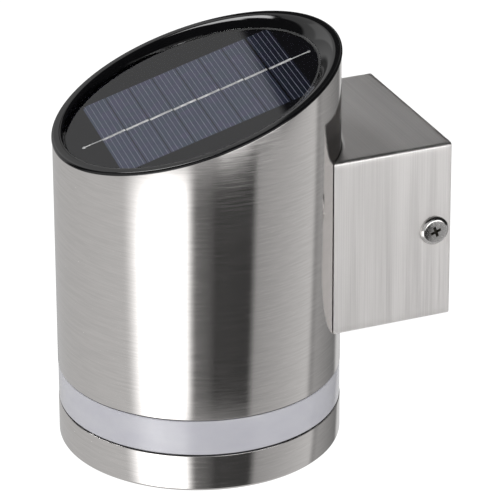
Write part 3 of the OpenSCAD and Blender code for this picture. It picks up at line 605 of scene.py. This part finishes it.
# Outer round: quarter circle. Bowl's wall, t from 0 to 1: r runs evenly from the crest to the window
# and h = rise - (rise + drop) t^hollow. The slide grows evenly with the depth below the crest
def makeBezel():
    b = bezel
    a = np.linspace(0, math.pi / 2, b["roundSteps"])
    outer = np.stack([b["crestOut"] - b["round"] + b["round"] * np.cos(a),
                      b["rise"] - b["round"] + b["round"] * np.sin(a)], -1)
    depth = b["rise"] + layers["drop"]
    t = np.linspace(0, 1, b["hollowSteps"])
    wall = np.stack([b["crestIn"] + (b["window"] - b["crestIn"]) * t,
                     b["rise"] - depth * t ** b["hollow"]], -1)
    top = np.concatenate([outer, wall])
    slide = b["shift"] * np.clip((b["rise"] - top[:, 1]) / depth, 0, 1)
    slide[:len(outer)] = 0
    ledgeTop = under("resin", "board", "seal")
    ledgeLow, ledgeIn = ledgeTop - b["ledge"], b["window"] - b["ledge"]
    low = ledgeLow - b["skirt"]
    rest = np.array([
        (b["window"], ledgeTop, b["shift"]), (ledgeIn, ledgeTop, b["shift"]),
        (ledgeIn, ledgeLow, b["shift"]), (b["skirtIn"], ledgeLow, 0), (b["skirtIn"], low, 0),
        (b["skirtOut"], low, 0), (b["skirtOut"], b["gap"], 0), (b["crestOut"], b["gap"], 0)])
    profile = np.concatenate([np.column_stack([top, slide]), rest]) + np.array([0, lamp["cutHeight"], 0])
    makePiece("bezelMoulding", [part(revolved(profile[:, :2], 1.0, profile[:, 2]))], "blackGloss",
              ["solar_bezel"], crease=40)


makeTube()
makeSkirt()
makeRing()
makeGasket("upperGasket", "upper_gasket")
makeGasket("lowerGasket", "lower_gasket")
makeBezel()
print("tube, skirt, ring, gaskets and bezel made")


# Solar panel: lengths along the cells (u), up the slope (v) and square to it (w), from the cells' seat
panel = {
    "cells": 8,
    "cellWide": 6.54 * mm,
    "cellGap": 0.22 * mm,
    "cellLong": 43.5 * mm,
    "cellThick": 0.25 * mm,
    "cellGrid": (25, 17),  # points over a cell's width and along it
    "trim": 33.5 * mm,  # the cells' corners are cut to this radius about the window's middle
    "turn": math.radians(0.85),  # the row lies a little askew, and a little to one side
    "aside": 0.6 * mm,
    "lastGap": 0.3 * mm,  # more room before the topmost cell
    "lines": 5,
    "lineWide": 0.12 * mm,
    "lineThick": 0.012 * mm,
    "ribbonWide": 1.1 * mm,
    "ribbonThick": 0.07 * mm,
    "ribbonGap": 0.3 * mm,
    "ribbonSteps": 12,
    "stagger": 0.34 * mm,  # each ribbon leans by this much between its ends
    "tipWide": 0.5 * mm,
    "tipSteps": 4,
    "padReach": 32.12 * mm,
    "padRadius": 0.55 * mm,
    "padGrid": (6, 32),  # rings of points, and points round a ring
    "archPoints": 9,  # over a strip's width
    "archPower": 8,
}


# Point of the row of cells: the row is turned and set aside on the panel, whose own axes are across
# the slope, up it and square to it: level = aside + u cos turn + v sin turn, high = v cos turn - u sin turn
def onPanel(u, v, w):
    u, v, w = np.broadcast_arrays(u, v, w)
    c, s = math.cos(panel["turn"]), math.sin(panel["turn"])
    level, high = panel["aside"] + u * c + v * s, v * c - u * s
    seat = onAxis(lamp["cutHeight"] + under("resin"))
    return seat + level[..., None] * across + high[..., None] * faceUp + w[..., None] * faceOut


# Strip lying on the panel: a low arch over its width, carried from end to end, with ends closed:
# w = base + thick * (1 - s^8), s from -1 to 1 over the width
def strip(uFrom, vFrom, uTo, vTo, wide, base, thick, cols=2):
    s = np.linspace(-1, 1, panel["archPoints"])
    arch = np.concatenate([s, s[::-1]])
    height = np.concatenate([thick * (1 - s ** panel["archPower"]), 0 * s]) + base
    t = np.linspace(0, 1, cols)[:, None]
    du, dv = uTo - uFrom, vTo - vFrom
    length = math.hypot(du, dv)
    side = arch * wide / 2
    u = uFrom + du * t - side * dv / length
    v = vFrom + dv * t + side * du / length
    return cappedParts(onPanel(u, v, height))


def cellMiddles():
    pitch = panel["cellWide"] + panel["cellGap"]
    middles = (np.arange(panel["cells"]) - (panel["cells"] - 1) / 2) * pitch
    middles[-1] += panel["lastGap"]
    return middles


# How far a cell reaches at height v on one side: its half length, or as far as the round window lets it:
# u = side * min(half, sqrt(trim^2 - (v cos 18 + shift)^2) - side * (aside + v sin turn))
def cellReach(v, side):
    level = v * math.cos(lamp["cutAngle"]) + bezel["shift"]
    room = np.sqrt(np.maximum(panel["trim"] ** 2 - level ** 2, 0))
    askew = panel["aside"] + v * math.sin(panel["turn"])
    return side * np.minimum(panel["cellLong"] / 2, room - side * askew)


# Cells: each is a thin slab, v even over its width and u even from its left reach to its right one
def makeCells():
    rows, cols = panel["cellGrid"]
    parts = []
    for middle in cellMiddles():
        v = middle + np.linspace(-0.5, 0.5, rows) * panel["cellWide"]
        left, right = cellReach(v, -1)[:, None], cellReach(v, 1)[:, None]
        u = left + (right - left) * np.linspace(0, 1, cols)
        upper = onPanel(u, v[:, None], panel["cellThick"])
        lower = onPanel(u, v[:, None], 0)
        sides = [np.stack(pair) for pair in ((upper[0], lower[0]), (lower[-1], upper[-1]),
                                             (lower[:, 0], upper[:, 0]), (upper[:, -1], lower[:, -1]))]
        parts += [part(grid, False, False) for grid in (upper, lower[::-1], *sides)]
    makePiece("solarCells", parts, "solarCell", ["solar_cells"])


# Finger lines: strips along each cell, at v = middle + ((k + 0.5) / lines - 0.5) * width
def makeFingerLines():
    shares = (np.arange(panel["lines"]) + 0.5) / panel["lines"] - 0.5
    wide = panel["lineWide"]
    parts = []
    for middle in cellMiddles():
        for v in middle + shares * panel["cellWide"]:
            left, right = cellReach(v, -1) + wide, cellReach(v, 1) - wide
            parts += strip(left, v, right, v, wide, panel["cellThick"], panel["lineThick"])
    makePiece("fingerLines", parts, "fingerInk")


# Ribbons: a leaning strip across each cell, and at both ends of the row a narrow tip with a solder pad,
# a low dome: w = top + thick * sqrt(1 - r^2), r from 0 to 1
def makeRibbons():
    half = (panel["cellWide"] + panel["cellGap"] - panel["ribbonGap"]) / 2
    top, thick, lean = panel["cellThick"], panel["ribbonThick"], panel["stagger"] / 2
    rings, around = panel["padGrid"]
    parts = []
    for middle in cellMiddles():
        parts += strip(lean, middle - half, -lean, middle + half, panel["ribbonWide"], top, thick,
                       panel["ribbonSteps"])
    tipFrom = cellMiddles()[-1] + panel["cellWide"] / 2 - panel["ribbonGap"]
    r, a = np.meshgrid(np.linspace(0, 1, rings), fullTurn(around), indexing="ij")
    for side in (-1, 1):
        reach = side * panel["padReach"]
        parts += strip(0, side * tipFrom, 0, reach, panel["tipWide"], top, thick, panel["tipSteps"])
        u, v = panel["padRadius"] * r * np.cos(a), reach + panel["padRadius"] * r * np.sin(a)
        parts.append(part(onPanel(u, v, top + thick * np.sqrt(1 - r ** 2)), closeRows=False))
        parts.append(part(onPanel(u[::-1], v[::-1], top), closeRows=False))
    makePiece("cellRibbons", parts, "tabRibbon", ["cell_ribbons"])


# Board and resin: round plates that follow the cut, the resin creeping up at the bezel's wall
plates = {
    "outside": 33.75 * mm,
    "edge": 0.1 * mm,
    "flat": 0.5 * mm,  # the face is cut into a ring this far from its edge, so that its middle stays flat
    "apart": 0.05 * mm,  # between the board and the resin
    "creep": 0.10 * mm,
    "creepWide": 0.7 * mm,
    "creepSteps": 12,
}


# A profile from the axis out and back, turned about the window's middle and tilted with the cut
def makePlate(name, profile, finish, node):
    profile = profile + np.array([0, lamp["cutHeight"]])
    makePiece(name, [part(revolved(profile, 1.0, bezel["shift"]))], finish, [node])


def makeBoard():
    edge, outside, top, low = plates["edge"], plates["outside"], under("resin"), under("resin", "board")
    ringAt = outside - plates["flat"]
    corners = [(0, top), (ringAt, top), (outside, top), (outside, low), (ringAt, low), (0, low)]
    profile = filleted(corners, [0, 0, edge, edge, 0, 0])
    makePlate("panelBoard", profile, "panelBlack", "panel_board")


# Resin: h = creep * (1 - (outside - r) / creepWide)^2 above its flat face, near the wall, so that it
# meets the wall at the drop and its flat face lies lower by the creep
def makeResin():
    q = plates
    ringAt = q["outside"] - q["creepWide"]
    r = np.concatenate([[0, ringAt - q["flat"]], np.linspace(ringAt, q["outside"], q["creepSteps"])])
    rise = np.maximum(1 - (q["outside"] - r) / q["creepWide"], 0) ** 2 * q["creep"]
    top = np.stack([r, rise - layers["drop"] - q["creep"]], -1)
    low = under("resin") + q["apart"]
    profile = np.concatenate([top, [(q["outside"], low), (0, low)]])
    makePlate("panelResin", profile, "clearResin", "panel_resin")


makeCells()
makeFingerLines()
makeRibbons()
makeBoard()
makeResin()
print("cells, finger lines, ribbons, board and resin made")


# Square arm: rounded square outline carried from the wall to the tube, where it is coped
armLow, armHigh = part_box("arm_box")
arm = {
    "wide": armHigh.x - armLow.x,
    "tall": armHigh.z - armLow.z,
    "wall": 1.2 * mm,
    "corner": 0.9 * mm,
    "leastCorner": 0.1 * mm,  # of the inner skin
    "gap": 0.1 * mm,
    "edge": 0.22 * mm,
    "across": 40,
    "along": 24,
    "cornerPoints": 8,
    "edgePoints": 9,
}


# Points round a rounded rectangle in x and z, the same count on each side and corner whatever its size:
# corner k turns from 90 k to 90 (k + 1) degrees about its middle, and a straight side follows it
def squareLoop(wide, tall, corner):
    t = np.linspace(0, 1, arm["across"])[:, None]
    a = np.linspace(0, math.pi / 2, arm["cornerPoints"])[1:-1, None]
    x, z = wide / 2 - corner, tall / 2 - corner
    middles = np.array([(x, z), (-x, z), (-x, -z), (x, -z)])
    out = []
    for k, middle in enumerate(middles):
        turn = k * math.pi / 2
        out.append(middle + corner * np.concatenate([np.cos(a + turn), np.sin(a + turn)], 1))
        off = corner * np.array([math.cos(turn + math.pi / 2), math.sin(turn + math.pi / 2)])
        out.append((middle + off) * (1 - t) + (middles[(k + 1) % 4] + off) * t)
    return np.concatenate(out)


# Rows: round the coped edge, along the inner skin to the wall, round the edge there and along the outer
# skin back. y = share * cope - back, where cope = axis + sqrt((tube + gap)^2 - x^2)
def makeArm():
    wall = arm["wall"]
    a = np.linspace(0, math.pi, arm["edgePoints"])
    inset = wall / 2 * (1 - np.cos(a))
    bulge = arm["edge"] * (np.sin(a) - 1)
    shares = np.linspace(0, 1, arm["along"])[1:-1]

    def row(depth, back, share):
        corner = max(arm["corner"] - depth, arm["leastCorner"])
        x, z = squareLoop(arm["wide"] - 2 * depth, arm["tall"] - 2 * depth, corner).T
        cope = lamp["axisY"] + np.sqrt((lamp["radius"] + arm["gap"]) ** 2 - x ** 2)
        return np.stack([x, cope * share - back, z + (armLow.z + armHigh.z) / 2], -1)

    rows = [row(d, b, 1) for d, b in zip(inset, bulge)]
    rows += [row(wall, 0, share) for share in shares[::-1]]
    rows += [row(d, -b, 0) for d, b in zip(inset[::-1], bulge[::-1])]
    rows += [row(0, 0, share) for share in shares]
    makePiece("armShell", [part(np.stack(rows))], "armSteelLit", ["arm_box"])


# Pan head screws, in millimetres: flat dome, shoulder with a crease, straight side, shank and a tapered
# cross recess. Each has a turn in degrees, and lift sets the side screws higher than their node
screws = {
    "side": {"node": "side_screws", "head": 4.05, "high": 1.5, "dome": 0.2, "shoulder": 0.85,
             "shank": 2.0, "length": 8.0, "cross": 3.5, "turns": (20, 31), "lift": 0.6},
    "base": {"node": "base_screws", "head": 2.8, "high": 1.9, "dome": 0.3, "shoulder": 0.8,
             "shank": 1.45, "length": 15.0, "cross": 2.7, "turns": (12, -28, 41, 5)},
    "door": {"node": "door_screws", "head": 2.5, "high": 1.2, "dome": 0.25, "shoulder": 0.6,
             "shank": 1.45, "length": 3.8, "cross": 2.4, "turns": (12, -28)},
}
headShape = {"crease": math.radians(38), "side": 0.25, "domePoints": 14, "shoulderPoints": 12, "around": 72}
# The recess: its depth as a share of the head, how far the cutter stands over it, and the length and
# width of each bar at its mouth and at its floor, as shares of the cross
recess = {"deep": 0.62, "over": 0.5 * mm, "mouth": (1.12, 0.27), "floor": (0.45, 0.16)}


# Turns u, v across and w out of the head into the frame, at a seat with its outward axis and a turn
def screwFrame(seat, axis, turn):
    w = np.array(axis, float)
    u = np.cross(w, [0.0, 0.0, 1.0]) if abs(w[2]) < 0.9 else np.array([1.0, 0.0, 0.0])
    u /= np.linalg.norm(u)
    v = np.cross(w, u)
    c, s = math.cos(turn), math.sin(turn)
    return np.array(seat, float), u * c + v * s, v * c - u * s, w


# Dome: a ball of radius (flat^2 + dome^2) / (2 dome). Shoulder, a from the crease's angle to 90 degrees:
# out by (sin a - sin crease) / (1 - sin crease) of its width, down by 1 - cos a / cos crease of its drop
def screwPart(size, seat, axis, turn):
    head, high, dome, shoulder, shank, length = (
        size[k] * mm for k in ("head", "high", "dome", "shoulder", "shank", "length"))
    flat = head - shoulder
    ball = (flat ** 2 + dome ** 2) / (2 * dome)
    r1 = np.linspace(0, flat, headShape["domePoints"])
    z1 = high - ball + np.sqrt(ball ** 2 - r1 ** 2)
    first = headShape["crease"]
    a = np.linspace(first, math.pi / 2, headShape["shoulderPoints"])[1:]
    drop = high - dome - headShape["side"] * high
    r2 = flat + shoulder * (np.sin(a) - math.sin(first)) / (1 - math.sin(first))
    z2 = high - dome - drop * (1 - np.cos(a) / math.cos(first))
    r = np.concatenate([r1, r2, [head, shank, shank, 0]])[:, None, None]
    z = np.concatenate([z1, z2, [0, 0, -length, -length]])[:, None, None]
    t = fullTurn(headShape["around"])[:, None]
    point, u, v, w = screwFrame(seat, axis, turn)
    return part(point + r * np.cos(t) * u + r * np.sin(t) * v + z * w, closeRows=False)


# Cross recess, as solids to cut away: two bars that narrow inwards
def crossSolids(size, seat, axis, turn):
    point, u, v, w = screwFrame(seat, axis, turn)
    high, half = size["high"] * mm, size["cross"] * mm / 2
    levels = ((high + recess["over"], recess["mouth"]), (high - recess["deep"] * high, recess["floor"]))
    corners = ((-1, -1), (1, -1), (1, 1), (-1, 1))
    return [cappedParts(np.array([[point + w * out + along * half * long * i + side * half * wide * j
                                   for i, j in corners] for out, (long, wide) in levels]))
            for along, side in ((u, v), (v, u))]


# Cuts solids out of a piece, one by one, with a dark, dull finish in the cuts that paints the shade in them
def carve(piece, solids):
    for solid in solids:
        cutter = newObject("cutter", joinedMesh("cutter", solid))
        cutter.data.materials.append(finishes["paintedShadeRecess"])
        cut = piece.modifiers.new("cut", "BOOLEAN")
        cut.operation, cut.solver, cut.object = "DIFFERENCE", "EXACT", cutter
        cut.material_mode = "TRANSFER"
        bpy.context.view_layer.update()
        done = bpy.data.meshes.new_from_object(piece.evaluated_get(bpy.context.evaluated_depsgraph_get()))
        piece.modifiers.clear()
        piece.data = done
        bpy.data.objects.remove(cutter)
    smooth(piece.data)


# Screws of one kind: each spot is a seat and the way out of it
def makeScrews(name, kind, spots):
    size = screws[kind]
    places = [(*spot, math.radians(turn)) for spot, turn in zip(spots, size["turns"])]
    parts = [screwPart(size, *place) for place in places]
    piece = makePiece(name, parts, "brightScrews", [size["node"]])
    carve(piece, [solid for place in places for solid in crossSolids(size, *place)])


# On the arm's two sides, at the middle of their node and a little higher
def sideSpots(low, high):
    y, z = (low.y + high.y) / 2, (low.z + high.z) / 2 + screws["side"]["lift"] * mm
    return [((armHigh.x, y, z), (1, 0, 0)), ((armLow.x, y, z), (-1, 0, 0))]


# On the underside, a head's radius in from the node's corners, or from its ends where it is one row
def underSpots(kind, low, high):
    r = screws[kind]["head"] * mm
    z = low.z + screws[kind]["high"] * mm
    rows = (low.y + r, high.y - r) if len(screws[kind]["turns"]) > 2 else ((low.y + high.y) / 2,)
    return [((x, y, z), (0, 0, -1)) for x in (low.x + r, high.x - r) for y in rows]


makeArm()
makeScrews("sideScrews", "side", sideSpots(*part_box("side_screws")))
makeScrews("baseScrews", "base", underSpots("base", *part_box("base_screws")))
makeScrews("doorScrews", "door", underSpots("door", *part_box("door_screws")))
print("arm and screws made")


# Finish of each CAD node that stays
nodeFinishes = {
    "panel_seal": "blackRubber", "panel_leads": "redWire", "chassis": "blackPlastic",
    "control_board": "boardGreen", "board_screws": "brightScrews", "charge_chip": "chipBlack",
    "choke_coil": "ferrite", "board_capacitor": "capSleeve", "contact_plates": "nickel",
    "battery_left": "batterySleeve", "battery_right": "batterySleeve", "battery_springs": "nickel",
    "battery_leads": "redWire", "led_board": "boardWhite", "leds": "diode", "led_leads": "blueWire",
    "reflector": "whitePlastic", "base_plate": "blackPlastic", "battery_door": "blackPlastic",
    "door_seal": "blackRubber", "switch_body": "zincSteel", "switch_slide": "whitePlastic",
    "switch_leads": "blackWire", "arm_saddle": "zincSteel", "arm_bolts": "brightScrews",
    "arm_nuts": "zincSteel", "wall_plate": "zincSteel", "flange_nuts": "zincSteel",
}


def dressNodes():
    for name, finish in nodeFinishes.items():
        thing = nodes[name]
        if not thing.material_slots:
            thing.data.materials.append(finishes[finish])
        for place in thing.material_slots:
            place.material = finishes[finish]


dressNodes()
print("CAD nodes dressed:", len(nodeFinishes))


# Studio: pale floor below the lamp, a plain world, one soft lamp and a tent that only gloss sees
studio = {
    "floorDrop": 0.35,
    "floorRadius": 4.0,
    "floorRings": 12,
    "floorTone": 0.8,
    "floorLift": 0.42,
    "worldLevel": 0.82,
    "lampPower": 2.2,
    "lampSize": 0.6,
    "lampAt": (0.55, -0.75, 0.95),
    "around": 96,  # points round the floor and the tent
}
# The tent is a sphere, dark between its cards. It shows the floor's level from floorFrom degrees down
tent = {"radius": 2.0, "rows": 49, "dark": 0.03, "floorFrom": -44, "floorTo": -36, "floorLevel": 0.6}
# Cards hung in the tent. Each has its sides in degrees to the right of the camera, its lower and upper
# edge in degrees above the lamp, the width of its soft edges, and its level at its left and right side.
# A card hides what was hung before it
cards = [
    # round the foot, seen in the tube's wall
    (-200, -20, -95, -12, 6.0, 0.48, 0.66),  # pale, on the left
    (-42, -16, -95, -12, 20.0, 4.6, 3.0),  # wide glow of the key light
    (-29, -6.5, -95, -12, 5.5, 2.6, 2.2),  # its core
    (-7, 14, -95, -12, 8.0, 0.22, 0.08),  # dark flags
    (14, 43.5, -95, -12, 4.0, 0.065, 0.05),
    (43.5, 106, -95, -12, 4.0, 0.36, 0.68),  # fill, on the right
    (106, 152, -95, -12, 8.0, 0.42, 0.18),
    (152, 200, -95, -12, 6.0, 0.70, 0.50),  # behind
    # overhead, seen in the head and on the arm's top
    (-186, -129, -12, 41, 1.5, 0.56, 0.56),  # grey wall behind
    (174, 200, 10, 31, 3.0, 0.22, 0.22),  # dim above the arm
    (174, 200, 31, 41, 1.5, 0.56, 0.56),  # the grey wall, carried on
    (-137, -118, -12, 24, 2.0, 0.56, 0.50),  # its low end
    (-200, -150, -12, 8, 5.0, 0.10, 0.10),  # its dark foot
    (-156, -138, 19.5, 32, 1.5, 0.92, 0.92),  # its bright edge
    (-98, 40, -12, 36, 8.0, 0.60, 0.60),  # soft front
    (15, 65, -10, 12, 5.0, 2.6, 2.6),  # light on the arm's side
    (-142, -121, 43.5, 61, 2.0, 8.0, 8.0),  # strips that the far lip mirrors
    (-123, -112, 52, 61, 2.5, 8.0, 8.0),
]
# The panel mirrors the edge of the grey wall: the edge runs through these two pixels of the picture
mirrorEdge = {"from": (244.0, 36.0), "to": (278.0, 101.0), "soft": 0.002, "beyond": 0.04,
              "left": -168, "right": -155, "low": 23, "high": 36, "fade": 1}


# Way in which a flat face, parallel to the cut, mirrors what the camera sees at a pixel:
# the ray through the pixel meets the face and leaves it turned over about the face's normal
def mirroredWay(pixel, centre):
    right, up, back = (np.array(v) for v in cameraAxes())
    focus = camera["lens"] / camera["sensor"] * camera["picture"]
    half = camera["picture"] / 2
    ray = -back + right * (pixel[0] - half) / focus - up * (pixel[1] - half) / focus
    ray /= np.linalg.norm(ray)
    eye = np.array(camera["aim"]) + back * camera["distance"]
    face = onAxis(lamp["cutHeight"] + under())
    spot = eye + ray * (np.dot(face - eye, faceOut) / np.dot(ray, faceOut)) - centre
    way = ray - 2 * np.dot(ray, faceOut) * faceOut
    along = np.dot(spot, way)
    reach = -along + math.sqrt(along ** 2 - np.dot(spot, spot) + tent["radius"] ** 2)
    return (spot + way * reach) / tent["radius"]


# One level laid over another: level (1 - mask) + over * mask
def laidOver(level, mask, over):
    return level * (1 - mask) + mask * over


# Studio object of one grid, open between its first and last row
def studioObject(name, grid):
    return newObject(name, joinedMesh(name, [part(grid, closeRows=False)]))


# Level of the tent, one card after another
def hangCards(g, angle, height):
    total = tent["dark"]
    for left, right, low, high, soft, first, last in cards:
        mask = g.band(angle, left, right, soft) * g.band(height, low, high, soft / 2)
        total = laidOver(total, mask, (angle - left) * ((last - first) / (right - left)) + first)
    return total


# Tent: x = cos v cos u, y = cos v sin u, z = sin v, times its radius, about the lamp's middle
def makeTent():
    centre = onAxis(lamp["cutHeight"] / 2)
    u = fullTurn(studio["around"])
    v = np.linspace(-math.pi / 2, math.pi / 2, tent["rows"])[:, None]
    grid = np.stack(np.broadcast_arrays(np.cos(v) * np.cos(u), np.cos(v) * np.sin(u), np.sin(v)), -1)
    sphere = studioObject("studioTent", grid * tent["radius"] + centre)
    g = Graph("tentLight")
    unit = g.vector("NORMALIZE", g.placeFrom(centre))

    def along(way):
        return g.vector("DOT_PRODUCT", unit, tuple(way), out="Value")

    ahead = math.radians(camera["azimuth"])
    front = along((math.sin(ahead), -math.cos(ahead), 0))
    right = along((math.cos(ahead), math.sin(ahead), 0))
    angle = right.calc("ARCTAN2", right, front) * math.degrees(1)
    height = g.put("ShaderNodeMath", {"operation": "ARCSINE"}, {0: along((0, 0, 1))}) * math.degrees(1)
    level = hangCards(g, angle, height)
    m = mirrorEdge
    side = np.cross(mirroredWay(m["from"], centre), mirroredWay(m["to"], centre))
    side /= np.linalg.norm(side)
    beyond = (g.step(along(side), -m["soft"], m["soft"]) * g.band(angle, m["left"], m["right"], m["fade"])
              * g.band(height, m["low"], m["high"], m["fade"]))
    level = laidOver(level, beyond, m["beyond"])
    level = laidOver(level, 1 - g.step(height, tent["floorFrom"], tent["floorTo"]), tent["floorLevel"])
    light = g.end(g.put("ShaderNodeEmission", {}, {"Color": (1, 1, 1), "Strength": level}))
    light.cycles.emission_sampling = "NONE"
    sphere.data.materials.append(light)
    sphere.visible_camera = sphere.visible_shadow = False
    sphere.visible_diffuse = sphere.visible_transmission = False


# Floor: a disc of rings below the lamp, clear from below, a little lifted where the camera sees it
def makeFloor():
    r = np.linspace(0, studio["floorRadius"], studio["floorRings"])[:, None]
    a = fullTurn(studio["around"])
    z = lamp["footZ"] - studio["floorDrop"]
    grid = np.stack(np.broadcast_arrays(r * np.cos(a), r * np.sin(a) + lamp["axisY"], z), -1)
    floor = studioObject("studioFloor", grid)
    if floor.data.polygons[0].normal.z < 0:
        floor.data.flip_normals()
    g = Graph("paleFloor")
    cloth = g.put("ShaderNodeBsdfDiffuse", {}, {"Color": (studio["floorTone"],) * 3})
    seen = g.put("ShaderNodeLightPath", out="Is Camera Ray")
    lift = g.put("ShaderNodeEmission", {}, {"Color": (1, 1, 1), "Strength": seen * studio["floorLift"]})
    both = g.put("ShaderNodeAddShader", {}, {0: cloth, 1: lift})
    clear = g.put("ShaderNodeBsdfTransparent")
    below = g.put("ShaderNodeNewGeometry", out="Backfacing")
    surface = g.put("ShaderNodeMixShader", {}, {0: below, 1: both, 2: clear})
    floor.data.materials.append(g.end(surface))
    floor.visible_glossy = False


# World: white where the camera, a mirror or glass looks at it, and a little less as light
def makeWorld():
    g = Graph("plainWorld", world=True)
    path = g.put("ShaderNodeLightPath", out="Is Camera Ray")
    seen = path
    for rays in ("Is Glossy Ray", "Is Transmission Ray"):
        seen = seen.calc("MAXIMUM", seen, path.output(rays))
    level = seen * (1 - studio["worldLevel"]) + studio["worldLevel"]
    light = g.put("ShaderNodeBackground", {}, {"Color": (1, 1, 1), "Strength": level})
    scene.world = g.end(light, "World")


def makeLamp():
    data = bpy.data.lights.new("softLamp", "AREA")
    data.shape, data.size, data.energy = "DISK", studio["lampSize"], studio["lampPower"]
    thing = newObject("softLamp", data)
    place = Vector(studio["lampAt"])
    thing.location = place
    thing.rotation_euler = (place - Vector(onAxis(lamp["cutHeight"] / 2))).to_track_quat("Z", "Y").to_euler()
    thing.visible_glossy = False


makeTent()
makeFloor()
makeWorld()
makeLamp()
print("studio lit")
